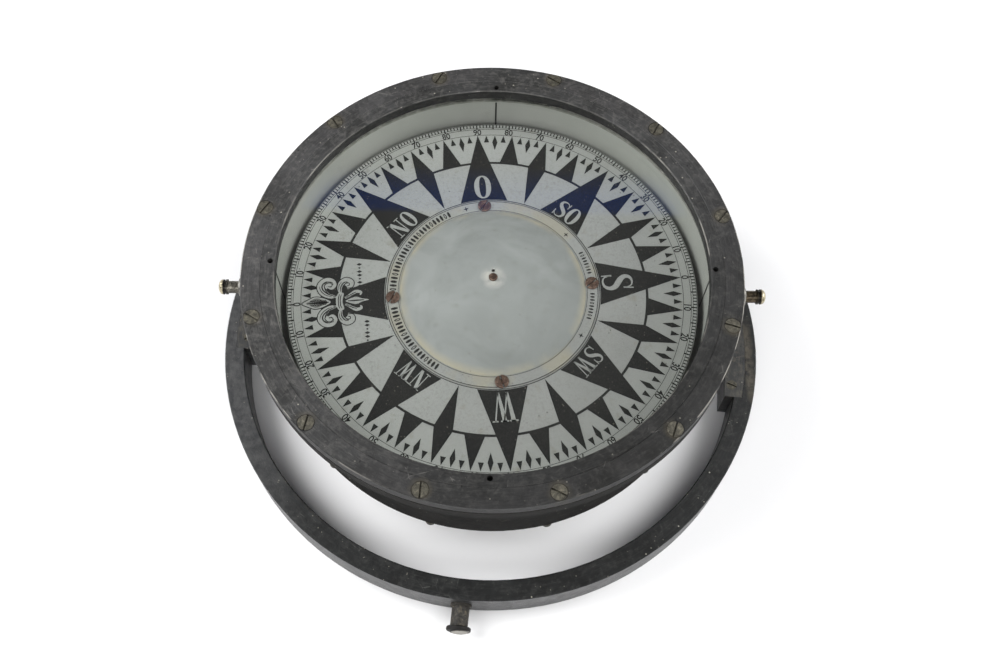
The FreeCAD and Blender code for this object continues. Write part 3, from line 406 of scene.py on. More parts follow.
def dome_material():
    """The float's grey paint: blotchy, chalky round the centre screw, yellowed at its rim, with painted shade
    towards the near right.
    """
    t = Tree("float_enamel")
    r = t.radius()
    x, y, _ = t.xyz()
    cloud = t.noise(26, 5, 0.6, distortion=1.0)
    small = t.noise(160, 4, 0.6)
    fine = t.noise(900, 2, 0.6)
    colour = t.mix(t.ramp(cloud, 0.36, 0.64), srgb(130, 133, 131), srgb(148, 151, 149))
    # painted shade: darker towards the near right
    shade = t.ramp(t.math("SUBTRACT", t.times(x, 0.6), y), -0.01, 0.06)
    colour = t.cover(colour, srgb(114, 117, 114), shade, 0.45)
    colour = t.cover(colour, srgb(116, 117, 111), t.ramp(small, 0.55, 0.72), 0.3)
    chalk = t.times(t.ramp(r, 0.0072, 0.0030), t.ramp(small, 0.34, 0.54))
    colour = t.cover(colour, srgb(190, 187, 180), chalk, 0.75)
    rim = t.times(t.ramp(r, 0.0442, 0.0476), t.ramp(t.noise(50, 3), 0.35, 0.6))
    colour = t.cover(colour, srgb(168, 161, 138), rim, 0.7)
    spots = t.times(t.ramp(t.cells(240), 0.1, 0.05), t.ramp(t.noise(80, 3), 0.55, 0.62))
    colour = t.cover(colour, srgb(96, 90, 80), spots, 0.7)
    normal = t.bump(small, 0.12, 0.0003, t.bump(fine, 0.12, 0.0001))
    return t.surface(colour, 0.62, 0.0, normal, Specular_IOR_Level=0.3)


def plain_metal(name, low, high, metallic, rough):
    """A small or hidden part: two tones and a fine grain."""
    t = Tree(name)
    middle = t.noise(260, 4, 0.6)
    fine = t.noise(1500, 2, 0.5)
    colour = t.mix(t.ramp(middle, 0.4, 0.66), low, high)
    roughness = t.math("ADD", t.times(fine, 0.2), rough - 0.1)
    return t.surface(colour, roughness, metallic, t.bump(fine, 0.2, 0.0001))


def worn_metal(name, dark, mid, light, metallic, rough, specular=0.5):
    """A small worn fitting: dark dirt, dull metal and rubbed bright places in three noise steps."""
    t = Tree(name)
    blotch = t.noise(480, 5, 0.65, distortion=0.8)
    fine = t.noise(1800, 3, 0.6)
    colour = t.mix(t.ramp(blotch, 0.36, 0.54), dark, mid)
    colour = t.cover(colour, light, t.ramp(blotch, 0.54, 0.70), 0.8)
    colour = t.cover(colour, [c * 0.4 for c in dark], t.ramp(fine, 0.46, 0.3), 0.5)
    roughness = t.math("ADD", t.times(blotch, 0.3), rough - 0.15)
    normal = t.bump(blotch, 0.3, 0.0002, t.bump(fine, 0.3, 0.0001))
    return t.surface(colour, roughness, metallic, normal, Specular_IOR_Level=specular)


def pin_material():
    """Trunnion brass: silvery and clean on the left, brown on the right neck, rubbed bright at the domed ends, with
    painted shade in the groove before each end.
    """
    t = Tree("trunnion_brass")
    x, _, _ = t.xyz()
    away = t.math("ABSOLUTE", x)
    blotch = t.noise(420, 5, 0.65, distortion=0.8)
    fine = t.noise(1600, 3, 0.6)
    pale = t.mix(t.ramp(blotch, 0.38, 0.62), srgb(58, 55, 49), srgb(134, 130, 120))
    brown = t.mix(t.ramp(blotch, 0.38, 0.62), srgb(38, 32, 24), srgb(84, 74, 58))
    colour = t.mix(t.ramp(x, -0.01, 0.01), pale, brown)
    tip = t.times(t.ramp(away, 0.1392, 0.1400), t.ramp(blotch, 0.30, 0.46))
    colour = t.cover(colour, srgb(190, 180, 152), tip, 0.85)
    # painted shade: a dark ring in the groove between neck and head
    groove_shade = t.times(t.ramp(away, 0.1374, 0.1377), t.ramp(away, 0.1396, 0.1393))
    colour = t.cover(colour, srgb(16, 13, 10), groove_shade, 0.9)
    colour = t.cover(colour, srgb(20, 16, 12), t.ramp(fine, 0.46, 0.3), 0.5)
    roughness = t.math("ADD", t.times(blotch, 0.3), 0.2)
    return t.surface(colour, roughness, 0.75, t.bump(fine, 0.25, 0.0001))


def journal_material():
    """The ring's outer journals: grimy neck, dark end flange, its dome rubbed to pale metal."""
    t = Tree("journal_metal")
    _, y, _ = t.xyz()
    away = t.math("ABSOLUTE", y)
    blotch = t.noise(420, 5, 0.65, distortion=0.8)
    fine = t.noise(1600, 3, 0.6)
    colour = t.mix(t.ramp(blotch, 0.36, 0.62), srgb(30, 29, 27), srgb(62, 59, 54))
    colour = t.cover(colour, srgb(104, 96, 78), t.ramp(blotch, 0.56, 0.70), 0.7)
    colour = t.cover(colour, srgb(14, 12, 9), t.ramp(fine, 0.46, 0.3), 0.5)
    flange = t.ramp(away, 0.1595, 0.1599)
    colour = t.cover(colour, srgb(10, 9, 8), flange, 0.9)
    dome = t.times(t.ramp(away, 0.1621, 0.1624), t.ramp(blotch, 0.26, 0.44))
    colour = t.cover(colour, srgb(156, 153, 146), dome, 0.9)
    roughness = t.math("ADD", t.times(blotch, 0.3), 0.45)
    return t.surface(colour, roughness, 0.0, t.bump(fine, 0.3, 0.0001), Specular_IOR_Level=0.25)


def assign(material, *names):
    """Gives CAD nodes their finish."""
    for name in names:
        mesh = NODES[name].data
        mesh.materials.clear()
        mesh.materials.append(material)


def paint_frame():
    assign(bezel_material(), "bezel_ring")
    bowl = finish_metal(old_metal(
        "bowl_gunmetal", srgb(18, 18, 17), srgb(29, 28, 27), srgb(54, 52, 48), 0.0, 0.7, 0.4), 0.12)
    assign(bowl, "bowl_body", "base_drum", "base_flange")
    assign(ring_material(), "gimbal_ring")
    keeper = finish_metal(old_metal(
        "keeper_gunmetal", srgb(48, 49, 50), srgb(66, 66, 64), srgb(104, 98, 86), 0.4, 0.5, 0.6))
    assign(keeper, "keeper_left", "keeper_right")
    screws = worn_metal("tarnished_brass", srgb(54, 52, 45), srgb(80, 77, 67), srgb(112, 107, 94), 0.5, 0.5)
    assign(screws, "bezel_screws", "keeper_screws_left", "keeper_screws_right", "flange_screws", "filler_plug")
    bosses = worn_metal("dull_pale_metal", srgb(84, 82, 78), srgb(132, 130, 124), srgb(176, 174, 166), 0.5, 0.5)
    assign(bosses, "trunnion_bosses")
    assign(pin_material(), "trunnion_pins")
    assign(journal_material(), "ring_journals")
    assign(glass_material(), "cover_glass")
    rubber = plain_metal("aged_rubber", srgb(124, 125, 118), srgb(158, 158, 150), 0.0, 0.8)
    assign(rubber, "glass_gasket", "filler_washer")
    assign(liner_material(), "inner_liner", "pan_floor")
    assign(plain_metal("line_black", srgb(24, 24, 24), srgb(34, 34, 33), 0.0, 0.6), "lubber_lines")
    brass = plain_metal("plain_brass", srgb(150, 122, 70), srgb(186, 156, 98), 0.9, 0.35)
    assign(brass, "pivot_post", "diaphragm", "jewel_cup", "magnet_brackets")
    steel = plain_metal("hard_steel", srgb(150, 152, 156), srgb(190, 192, 196), 1.0, 0.25)
    assign(steel, "pivot_seat", "pivot_ball")
    assign(plain_metal("jewel", srgb(110, 34, 48), srgb(130, 46, 60), 0.0, 0.15), "pivot_jewel")
    assign(plain_metal("lead", srgb(92, 96, 100), srgb(116, 120, 124), 0.6, 0.6), "ballast_ring")
    assign(plain_metal("magnet_lacquer", srgb(44, 46, 52), srgb(60, 62, 68), 0.2, 0.5), "magnet_tubes")
    assign(dome_material(), "float_dome", "float_cone")
    assign(card_material(), "card_disc", "card_band")
    copper = worn_metal("dark_copper", srgb(70, 52, 43), srgb(102, 80, 68), srgb(140, 116, 102), 0.5, 0.45)
    assign(copper, "card_screws", "cap_screw")


# ------------------------------------------------------------------ flat printed shapes
def area(loop):
    """Signed area: positive for a loop that runs anticlockwise."""
    return sum(a[0] * b[1] - b[0] * a[1] for a, b in zip(loop, loop[1:] + loop[:1])) / 2


class Ink:
    """Collects flat outlines (millimetres, in the CAD frame) and turns them into one mesh of thin closed solids."""

    def __init__(self):
        self.verts = []
        self.faces = []

    def shape(self, loops, low, high):
        """A prism over an outline and its holes."""
        outer, *holes = loops
        rings = [outer if area(outer) > 0 else outer[::-1]]
        rings += [h if area(h) < 0 else h[::-1] for h in holes]
        flat = [p for ring in rings for p in ring]
        start = len(self.verts)
        count = len(flat)
        self.verts += [(x * MM, y * MM, low * MM) for x, y in flat]
        self.verts += [(x * MM, y * MM, high * MM) for x, y in flat]
        for a, b, c in tessellate_polygon([[Vector((x, y, 0)) for x, y in ring] for ring in rings]):
            (ax, ay), (bx, by), (cx, cy) = flat[a], flat[b], flat[c]
            turn = (bx - ax) * (cy - ay) - (by - ay) * (cx - ax)
            if turn < 0:
                b, c = c, b
            self.faces.append((start + count + a, start + count + b, start + count + c))
            self.faces.append((start + c, start + b, start + a))
        first = 0
        for ring in rings:
            n = len(ring)
            for i in range(n):
                a, b = start + first + i, start + first + (i + 1) % n
                self.faces.append((a, b, b + count, a + count))
            first += n

    def object(self, name, material):
        """The finished print; all of it turns with the card."""
        mesh = bpy.data.meshes.new(name)
        mesh.from_pydata(self.verts, [], self.faces)
        mesh.validate()
        obj = bpy.data.objects.new(name, mesh)
        bpy.context.scene.collection.objects.link(obj)
        mesh.materials.append(bpy.data.materials[material])
        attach(obj, "card")


def polar(radius, degrees):
    a = math.radians(degrees)
    return (radius * math.cos(a), radius * math.sin(a))


def out_at(azimuth, loop):
    """A loop drawn upright (right, outward), moved to a direction of the card; azimuths run clockwise from north."""
    a = math.radians(CARD_NORTH - azimuth)
    c, s = math.cos(a), math.sin(a)
    return [(v * c + u * s, v * s - u * c) for u, v in loop]


def circle(ink, r0, r1, low, high, count=360):
    """A flat ring between two radii."""
    outer = [polar(r1, 360.0 * i / count) for i in range(count)]
    inner = [polar(r0, 360.0 * i / count) for i in range(count)]
    start = len(ink.verts)
    for ring, z in ((outer, low), (outer, high), (inner, high), (inner, low)):
        ink.verts += [(x * MM, y * MM, z * MM) for x, y in ring]
    for k in range(4):
        a0, b0 = start + k * count, start + ((k + 1) % 4) * count
        for i in range(count):
            j = (i + 1) % count
            ink.faces.append((a0 + i, a0 + j, b0 + j, b0 + i))


def smooth(points, closed=True, steps=6):
    """A rounded line through the points (Catmull-Rom)."""
    n = len(points)
    out = []
    span = range(n if closed else n - 1)
    for i in span:
        if closed:
            p = [points[(i + k - 1) % n] for k in range(4)]
        else:
            p = [points[min(max(i + k - 1, 0), n - 1)] for k in range(4)]
        for s in range(steps):
            u = s / steps
            out.append(tuple(
                0.5 * (2 * b + (c - a) * u + (2 * a - 5 * b + 4 * c - d) * u * u + (3 * b - a - 3 * c + d) * u ** 3)
                for a, b, c, d in zip(*p)))
    if not closed:
        out.append(tuple(points[-1]))
    return out


def stroke(points, widths, steps=8):
    """A closed outline along a centre line whose full width changes from point to point."""
    rows = smooth(points, closed=False, steps=steps)
    wide = smooth([(w, 0.0) for w in widths], closed=False, steps=steps)
    left, right = [], []
    for i, (x, y) in enumerate(rows):
        a = rows[max(i - 1, 0)]
        b = rows[min(i + 1, len(rows) - 1)]
        dx, dy = b[0] - a[0], b[1] - a[1]
        size = math.hypot(dx, dy) or 1.0
        nx, ny = -dy / size, dx / size
        half = wide[i][0] / 2
        left.append((x + nx * half, y + ny * half))
        right.append((x - nx * half, y - ny * half))
    return left + right[::-1]


# ------------------------------------------------------------------ letters
def ellipse(cx, cy, rx, ry, count=40, squareness=1.0):
    points = []
    for i in range(count):
        a = 2 * math.pi * i / count
        c, s = math.cos(a), math.sin(a)
        points.append((cx + rx * math.copysign(abs(c) ** squareness, c),
                       cy + ry * math.copysign(abs(s) ** squareness, s)))
    return points


def letter_o():
    """A narrow ring with a slit-shaped eye."""
    return 0.70, [[ellipse(0.35, 0.5, 0.34, 0.52, 48, 0.92), ellipse(0.35, 0.5, 0.135, 0.46, 48, 0.85)]]


def letter_n():
    """Thin stems, a heavy diagonal and flat serifs."""
    thin, serif, foot = 0.06, 0.25, 0.05
    stem = [(0.13, 0), (0.13 + thin, 0), (0.13 + thin, 1), (0.13, 1)]
    far = [(0.68, 0.0), (0.68 + thin, 0.0), (0.68 + thin, 1), (0.68, 1)]
    heavy = [(0.09, 1.0), (0.33, 1.0), (0.74, 0.0), (0.56, 0.0)]
    feet = [
        [(0.0, 0), (serif + 0.08, 0), (serif + 0.08, foot), (0.0, foot)],
        [(-0.02, 1 - foot), (0.3, 1 - foot), (0.3, 1), (-0.02, 1)],
        [(0.55, 1 - foot), (0.88, 1 - foot), (0.88, 1), (0.55, 1)],
    ]
    return 0.86, [[p] for p in (stem, far, heavy, *feet)]


def letter_w():
    """Two heavy and two thin strokes with flat serifs on top."""
    thin, heavy, foot = 0.06, 0.2, 0.05
    strokes = [
        [(0.10, 1), (0.10 + heavy, 1), (0.44, 0), (0.34, 0)],
        [(0.36, 0), (0.36 + thin, 0), (0.64, 1), (0.64 - thin, 1)],
        [(0.48, 1), (0.48 + heavy, 1), (0.83, 0), (0.73, 0)],
        [(0.75, 0), (0.75 + thin, 0), (1.02, 1), (1.02 - thin, 1)],
    ]
    feet = [
        [(0.0, 1 - foot), (0.37, 1 - foot), (0.37, 1), (0.0, 1)],
        [(0.42, 1 - foot), (0.76, 1 - foot), (0.76, 1), (0.42, 1)],
        [(0.87, 1 - foot), (1.12, 1 - foot), (1.12, 1), (0.87, 1)],
    ]
    return 1.12, [[p] for p in (*strokes, *feet)]


def letter_s():
    """One swelling stroke with a serif at each end."""
    line = [(0.575, 0.735), (0.5, 0.93), (0.33, 0.985), (0.16, 0.92), (0.11, 0.77), (0.2, 0.63), (0.36, 0.52),
            (0.52, 0.4), (0.58, 0.24), (0.5, 0.075), (0.31, 0.015), (0.13, 0.08), (0.055, 0.29)]
    wide = [0.03, 0.045, 0.06, 0.11, 0.16, 0.19, 0.2, 0.19, 0.15, 0.1, 0.06, 0.045, 0.03]
    top = [(0.53, 0.68), (0.595, 0.68), (0.625, 1.01), (0.575, 1.01)]
    low = [(0.03, -0.01), (0.075, -0.01), (0.09, 0.33), (0.02, 0.33)]
    return 0.66, [[stroke(line, wide)], [top], [low]]


# each gives its width and its pieces, with its foot at 0 and its top at 1
LETTERS = {"O": letter_o, "N": letter_n, "W": letter_w, "S": letter_s}


def put_word(ink, word, azimuth, r_low, r_high, stretch, gap, low, high):
    """Upright letters at a direction of the card, their tops outward."""
    height = r_high - r_low
    made = [LETTERS[ch]() for ch in word]
    total = sum(width for width, _ in made) * stretch * height + gap * (len(made) - 1)
    x = -total / 2
    for width, pieces in made:
        for loops in pieces:
            placed = [[(x + u * stretch * height, r_low + v * height) for u, v in loop] for loop in loops]
            ink.shape([out_at(azimuth, loop) for loop in placed], low, high)
        x += width * stretch * height + gap


# ------------------------------------------------------------------ compass card
def draw_card():
    """The rose: rules, degree marks, 32 large points and the small points and lozenges of the edge."""
    z0, z1 = CARD_TOP + INK_LOW, CARD_TOP + INK_HIGH
    black = Ink()
    for inner, outer in CARD_RULES:
        circle(black, inner, outer, z0, z1)
    for degree in range(360):
        half, inner = next((half, inner) for step, half, inner in TICKS if degree % step == 0)
        black.shape([out_at(degree, [(-half, inner), (half, inner), (half, TICK_END), (-half, TICK_END)])], z0, z1)
    foot = [(POINT_FOOT * math.sin(math.radians(t)), POINT_FOOT * math.cos(math.radians(t)))
            for t in range(POINT_SPREAD, -POINT_SPREAD - 1, -2)]
    wide, waist = KITE_WAIST
    kite = [(0, POINT_TIP), (wide, waist), (0, POINT_FOOT), (-wide, waist)]
    for k in range(8):
        black.shape([out_at(45 * k, [(0, POINT_TIP)] + foot)], z0, z1 + POINT_GAIN)
        black.shape([out_at(45 * k + 22.5, kite)], z0, z1 + POINT_GAIN)
    wide, base = BY_POINT_FOOT
    for k in range(16):
        black.shape([out_at(11.25 + 22.5 * k, [(0, POINT_TIP), (wide, base), (-wide, base)])], z0, z1 + POINT_GAIN)
    wide, waist = SMALL_WAIST
    point = [(0, SMALL_TIP), (wide, waist), (-wide, waist)]
    lozenge = [(0, SMALL_TIP), (wide, waist), (0, LOZENGE_END), (-wide, waist)]
    for k in range(32):
        for part, loop in ((0.25, point), (0.75, point), (0.5, lozenge)):
            black.shape([out_at(11.25 * (k + part), loop)], z0, z1)
    ink_material()
    black.object("card_print", "card_ink")


def draw_letters():
    """White letters on the black points: east is O on a German card."""
    z0, z1 = CARD_TOP + INK_HIGH + SECOND_COAT, CARD_TOP + INK_HIGH + 0.04
    white = Ink()
    for word, az, r0, r1, stretch, gap in (  # azimuth, foot and top of the letters, squeeze, gap between two
        ("NO", 45, 57.3, 67.8, 0.88, 0.4), ("O", 90, 57.4, 71.6, 0.95, 0), ("SO", 135, 57.3, 67.8, 0.95, 0.5),
        ("S", 180, 57.4, 73.2, 0.9, 0), ("SW", 225, 57.3, 67.6, 0.8, 0.4), ("W", 270, 57.4, 73.2, 0.72, 0),
        ("NW", 315, 57.3, 67.6, 0.75, 0.3),
    ):
        put_word(white, word, az, r0, r1, stretch, gap, z0, z1)
    white.object("card_letters", "card_enamel")


def draw_numbers():
    """The quadrant's tens round the edge, from Blender's own font."""
    ink = Ink()
    size = NUMBER_TALL / FONT_TALL
    for az in range(0, 360, 10):
        d = az % 180
        curve = bpy.data.curves.new("number", "FONT")
        curve.body = str(d if d <= 90 else 180 - d)
        curve.align_x = "CENTER"
        curve.size = 1.0
        curve.offset = NUMBER_BOLD
        obj = bpy.data.objects.new("number", curve)
        bpy.context.scene.collection.objects.link(obj)
        bpy.context.view_layer.update()
        flat = bpy.data.meshes.new_from_object(obj)
        bpy.data.objects.remove(obj)
        bm = bmesh.new()
        bm.from_mesh(flat)
        bmesh.ops.remove_doubles(bm, verts=bm.verts, dist=1e-5)
        extruded = bmesh.ops.extrude_face_region(bm, geom=bm.faces[:])
        top = [g for g in extruded["geom"] if isinstance(g, bmesh.types.BMVert)]
        for v in top:
            v.co.z = 1.0
        bmesh.ops.recalc_face_normals(bm, faces=bm.faces)
        bm.verts.index_update()
        first = len(ink.verts)
        for v in bm.verts:
            x, y = out_at(az, [(v.co.x * size * NUMBER_SQUEEZE, NUMBER_FOOT + v.co.y * size)])[0]
            z = CARD_TOP + (INK_HIGH if v.co.z > 0.5 else INK_LOW)
            ink.verts.append((x * MM, y * MM, z * MM))
        ink.faces += [[first + v.index for v in f.verts] for f in bm.faces]
        bm.free()
    ink.object("card_numbers", "card_ink")


def mirror(loop):
    return [(-u, v) for u, v in loop][::-1]


def grown(loop, by):
    """The loop moved outward by a small distance."""
    if area(loop) < 0:
        loop = loop[::-1]
    out = []
    n = len(loop)
    for i, (x, y) in enumerate(loop):
        dx = loop[(i + 1) % n][0] - loop[i - 1][0]
        dy = loop[(i + 1) % n][1] - loop[i - 1][1]
        size = math.hypot(dx, dy) or 1.0
        out.append((x + dy / size * by, y - dx / size * by))
    return out


# the north ornament, drawn upright: (right, outward) in millimetres from the card's centre, right half or whole
LEAVES = (
    ([(0, 98.4), (1.9, 95.4), (3.3, 92.2), (2.9, 88.8), (1.5, 85.6), (0, 83.8), (-1.5, 85.6), (-2.9, 88.8),
      (-3.3, 92.2), (-1.9, 95.4)], 6),
    ([(0, 76.2), (1.5, 73.2), (2.1, 70.6), (0.9, 67.6), (0, 64.2), (-0.9, 67.6), (-2.1, 70.6), (-1.5, 73.2)], 6),
    ([(-4.4, 80.2), (0, 81.2), (4.4, 80.2), (5.0, 78.6), (4.4, 77.0), (0, 77.8), (-4.4, 77.0), (-5.0, 78.6)], 4),
)
SCROLLS = (
    ([(2.6, 80.6), (3.6, 84.4), (6.2, 87.8), (9.8, 88.9), (12.6, 86.6), (12.6, 83.2), (10.2, 81.6), (8.0, 83.0),
      (8.6, 85.2)], [1.2, 2.8, 3.7, 3.4, 3.0, 2.5, 2.0, 1.5, 0.7]),
    ([(4.6, 78.6), (7.6, 78.9), (10.6, 78.0), (12.4, 75.6), (11.2, 73.0), (8.8, 73.0), (8.2, 75.0)],
     [1.4, 2.6, 3.0, 2.7, 2.3, 1.7, 0.8]),
    ([(1.8, 76.4), (3.4, 73.6), (5.2, 70.8), (4.6, 68.2), (3.0, 68.6)], [1.1, 1.8, 1.9, 1.4, 0.6]),
)
GROUND = [(0, 91.0), (3.2, 89.2), (6.4, 87.0), (9.2, 84.2), (8.8, 81.2), (10.2, 78.6), (8.8, 75.6), (5.6, 74.4),
          (3.6, 71.4), (0, 69.6)]
VEINS = (
    ([(0.05, 96.4), (0.05, 92), (0.05, 88), (0.05, 84.8)], [0.15, 0.7, 0.8, 0.3]),
    ([(0.9, 94.6), (1.7, 91.6), (1.5, 88.6), (0.8, 86.0)], [0.15, 0.35, 0.35, 0.15]),
    ([(1.6, 94.0), (2.4, 91.4), (2.2, 89.2)], [0.15, 0.28, 0.15]),
    ([(3.2, 81.6), (4.6, 84.8), (7.2, 87.6), (9.9, 88.0), (11.8, 86.2), (11.9, 84.0)],
     [0.25, 0.45, 0.5, 0.5, 0.45, 0.2]),
    ([(4.4, 83.2), (6.2, 85.9), (8.6, 87.0)], [0.15, 0.35, 0.15]),
    ([(5.6, 78.6), (8.4, 78.4), (10.8, 76.9), (11.4, 74.9)], [0.2, 0.4, 0.45, 0.2]),
    ([(6.6, 79.6), (9.4, 79.3), (11.4, 77.9)], [0.12, 0.28, 0.12]),
    ([(2.4, 75.6), (3.8, 73.0), (4.9, 70.6)], [0.15, 0.4, 0.2]),
    ([(0.05, 75.0), (0.05, 71), (0.05, 66.6)], [0.2, 0.55, 0.2]),
    ([(0.0, 79.9), (2.2, 79.8), (4.2, 79.2)], [0.3, 0.35, 0.2]),
    ([(0.0, 78.9), (2.2, 78.8), (4.0, 78.2)], [0.3, 0.35, 0.2]),
    ([(3.0, 83.2), (4.2, 86.2), (6.6, 88.6), (9.6, 89.6)], [0.15, 0.3, 0.3, 0.15]),
    ([(10.6, 87.2), (11.9, 85.2), (11.3, 82.8), (9.9, 82.4)], [0.15, 0.35, 0.3, 0.15]),
    ([(5.2, 77.9), (8.2, 77.6), (10.2, 76.0), (10.4, 74.2)], [0.15, 0.3, 0.3, 0.15]),
    ([(2.0, 75.0), (3.2, 72.4), (4.2, 70.2)], [0.12, 0.28, 0.12]),
    ([(0.45, 96.0), (1.0, 92.0), (0.8, 88.0), (0.4, 85.6)], [0.12, 0.3, 0.3, 0.12]),
)
RIM = 0.5                   # width of the black outline round a leaf or scroll
VEIN_WEIGHT = 1.35          # the veins' widths are multiplied by this
HATCH = [0.1, 0.26, 0.1]    # width of a hatching line along its length


def draw_north():
    """A plain fleur-de-lis over the north point: outlined white leaves with dark veins and hatching."""
    low = CARD_TOP + INK_HIGH + SECOND_COAT
    top = low + 0.04
    outline, white, dark = Ink(), Ink(), Ink()
    # the layers end at different heights, so that no two printed faces lie in one plane
    for points, widths in SCROLLS:
        for ink, extra, drop in ((outline, 2 * RIM, 0.02), (white, 0, 0)):
            loop = stroke(points, [w + extra for w in widths])
            ink.shape([out_at(0, loop)], low, top - drop)
            ink.shape([out_at(0, mirror(loop))], low, top - drop)
    for points, steps in LEAVES:
        loop = smooth(points, steps=steps)
        outline.shape([out_at(0, grown(loop, RIM))], low, top - 0.015)
        white.shape([out_at(0, loop)], low, top + 0.01)
    ground = GROUND + mirror(GROUND)[1:-1]
    outline.shape([out_at(0, smooth(ground, steps=4))], low, top - 0.03)

    def vein(points, widths):
        for side in (1, -1):
            line = stroke([(side * u, v) for u, v in points], [w * VEIN_WEIGHT for w in widths])
            dark.shape([out_at(0, line)], top + 0.005, top + 0.035)

    for points, widths in VEINS:
        vein(points, widths)
    for k in range(7):
        level = 86.2 + 1.25 * k
        vein([(0.4, level - 0.5), (1.0, level), (1.5, level + 0.7)], HATCH)
    for k in range(6):
        out = 0.7 + 0.62 * k
        vein([(out, 83.4 - 0.25 * k), (out + 0.15, 82.4 - 0.3 * k), (out + 0.2, 81.6 - 0.2 * k)], HATCH)
        vein([(out, 76.4), (out + 0.1, 75.6 - 0.1 * k), (out + 0.15, 74.9 - 0.1 * k)], HATCH)
    outline.object("north_outline", "card_ink")
    white.object("north_leaves", "card_enamel")
    dark.object("north_veins", "card_ink")


def draw_marks():
    """Two short rows of plain lozenges in the white cells on either side of north."""
    ink = Ink()
    for first, level, step in ((8.3, 68.5, 2.15), (-12.6, 65.6, -2.15)):
        for k in range(7):
            u = first + step * k
            tall, wide = (1.45, 0.8) if k % 3 != 2 else (0.7, 0.55)
            ink.shape([out_at(0, [(u, level + tall), (u + wide, level), (u, level - tall), (u - wide, level)])],
                      CARD_TOP + INK_LOW, CARD_TOP + INK_HIGH)
    ink.object("cell_marks", "card_ink")


def draw_band():
    """Rules, stars and rows of plain leaves and bars on the band round the float."""
    z0, z1 = BAND_TOP + INK_LOW, BAND_TOP + INK_HIGH
    ink = Ink()
    for inner, outer in BAND_RULES:
        circle(ink, inner, outer, z0, z1)

    def print_at(degrees, *loops):
        """Loops drawn round the band's middle, printed at an angle from +X."""
        placed = [[(u, BAND_MIDDLE + v) for u, v in loop] for loop in loops]
        ink.shape([out_at(CARD_NORTH - degrees, loop) for loop in placed], z0, z1)

    star = [(0, 1.6), (0.36, 0.36), (1.6, 0), (0.36, -0.36), (0, -1.6), (-0.36, -0.36), (-1.6, 0), (-0.36, 0.36)]
    for degrees in STAR_PLACES:
        print_at(degrees, star)

    def leaf_row(first, last, count, gap, tall, wide):
        end = wide * 0.6
        bar = [(-end, -tall), (end, -tall), (wide, 0), (end, tall), (-end, tall), (-wide, 0)]
        leaf = ellipse(0, 0, wide, tall, 16)
        hole = ellipse(0, 0, wide * 0.4, tall * 0.6, 12)
        for k in range(count):
            degrees = first + (last - first) * k / (count - 1)
            if not gap[0] < degrees < gap[1]:  # a card screw stands in the gap
                print_at(degrees, *((bar,), (leaf, hole), (bar,), (leaf,))[k % 4])

    leaf_row(118, 238, 49, (180.5, 191.5), 1.75, 0.72)
    leaf_row(-17, 27, 23, (-0.5, 11.5), 1.2, 0.5)
    ink.object("band_print", "card_ink")


# ------------------------------------------------------------------ stage, camera and light
def make_stage():
    """A plain pale paper floor."""
    bpy.ops.mesh.primitive_plane_add(size=FLOOR_SIZE, location=(0, 0, -FLOOR_DROP))
    floor = bpy.context.object
    floor.name = "floor"
    t = Tree("floor_paper")
    floor.data.materials.append(t.surface((0.8, 0.8, 0.805), 0.75, 0.0))


def look_camera():
    """The photograph's own view: position and turn solved from the bezel's circles."""
    elevation, roll, yaw = EYE_ELEVATION, EYE_ROLL, math.radians(EYE_YAW)
    shift = Vector(EYE_SHIFT)
    back = Vector((math.sin(yaw) * math.cos(elevation), -math.cos(yaw) * math.cos(elevation), math.sin(elevation)))
    right = Vector((math.cos(yaw), math.sin(yaw), 0))
    up = back.cross(right)
    right, up = math.cos(roll) * right + math.sin(roll) * up, -math.sin(roll) * right + math.cos(roll) * up
    place = -shift.x * right - shift.y * up + shift.z * back + Vector((0, 0, BEZEL_TOP))
    data = bpy.data.cameras.new("camera")
    data.sensor_width = SENSOR
    data.lens = FOCAL_PIXELS * SENSOR / FRAME_PIXELS
    data.clip_start, data.clip_end = 0.01, 100
    cam = bpy.data.objects.new("camera", data)
    bpy.context.scene.collection.objects.link(cam)
    m = cam.matrix_world.copy()
    for row in range(3):
        m[row][0], m[row][1], m[row][2], m[row][3] = right[row], up[row], back[row], place[row] * MM
    cam.matrix_world = m
    bpy.context.scene.camera = cam


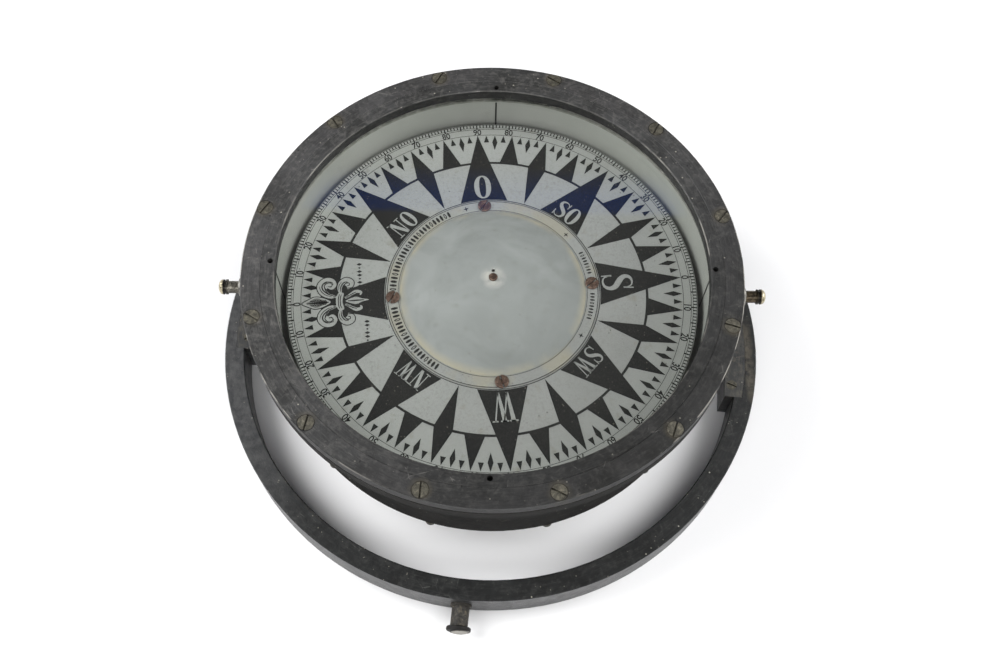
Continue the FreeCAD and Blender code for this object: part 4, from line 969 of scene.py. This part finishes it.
def area_light(name, place, target, size, power):
    data = bpy.data.lights.new(name, "AREA")
    data.shape = "RECTANGLE"
    data.size, data.size_y = size
    data.energy = power
    obj = bpy.data.objects.new(name, data)
    bpy.context.scene.collection.objects.link(obj)
    obj.location = place
    obj.rotation_euler = (Vector(target) - Vector(place)).to_track_quat("-Z", "Y").to_euler()


def make_light():
    """Soft boxes left, right and in front, low light from all round and a dark ceiling that the glass mirrors."""
    world = bpy.data.worlds.new("studio")
    bpy.context.scene.world = world
    world.use_nodes = True
    tree = world.node_tree
    background = tree.nodes["Background"]

    def node(kind, **inputs):
        made = tree.nodes.new(kind)
        for key, value in inputs.items():
            made.inputs[key.replace("_", " ")].default_value = value
        return made

    split = node("ShaderNodeSeparateXYZ")
    tree.links.new(node("ShaderNodeTexCoord").outputs["Generated"], split.inputs[0])
    fade = node("ShaderNodeMapRange", From_Min=FADE[0], From_Max=FADE[1], To_Min=WALL_LIGHT, To_Max=CEILING_LIGHT)
    tree.links.new(split.outputs[2], fade.inputs["Value"])
    tree.links.new(fade.outputs[0], background.inputs["Strength"])
    # a dark blue beam under the ceiling: the glass mirrors it as a soft band across the card
    slope, both = node("ShaderNodeMath"), node("ShaderNodeMath")
    slope.operation, both.operation = "DIVIDE", "MULTIPLY"
    tree.links.new(split.outputs[1], slope.inputs[0])
    tree.links.new(split.outputs[2], slope.inputs[1])
    for socket, (start, end) in enumerate((BEAM_NEAR, BEAM_FAR)):
        step = node("ShaderNodeMapRange", From_Min=start, From_Max=end)
        tree.links.new(slope.outputs[0], step.inputs["Value"])
        tree.links.new(step.outputs[0], both.inputs[socket])
    tint = node("ShaderNodeMix")
    tint.data_type = "RGBA"
    tint.inputs[6].default_value = (1, 1, 1, 1)
    tint.inputs[7].default_value = BEAM_COLOUR
    tree.links.new(both.outputs[0], tint.inputs[0])
    tree.links.new(tint.outputs[2], background.inputs["Color"])
    for box in BOXES:
        area_light(*box)
    bpy.context.scene.view_settings.view_transform = "Standard"


paint_frame()
draw_card()
draw_letters()
draw_numbers()
draw_north()
draw_marks()
draw_band()
make_stage()
look_camera()
make_light()
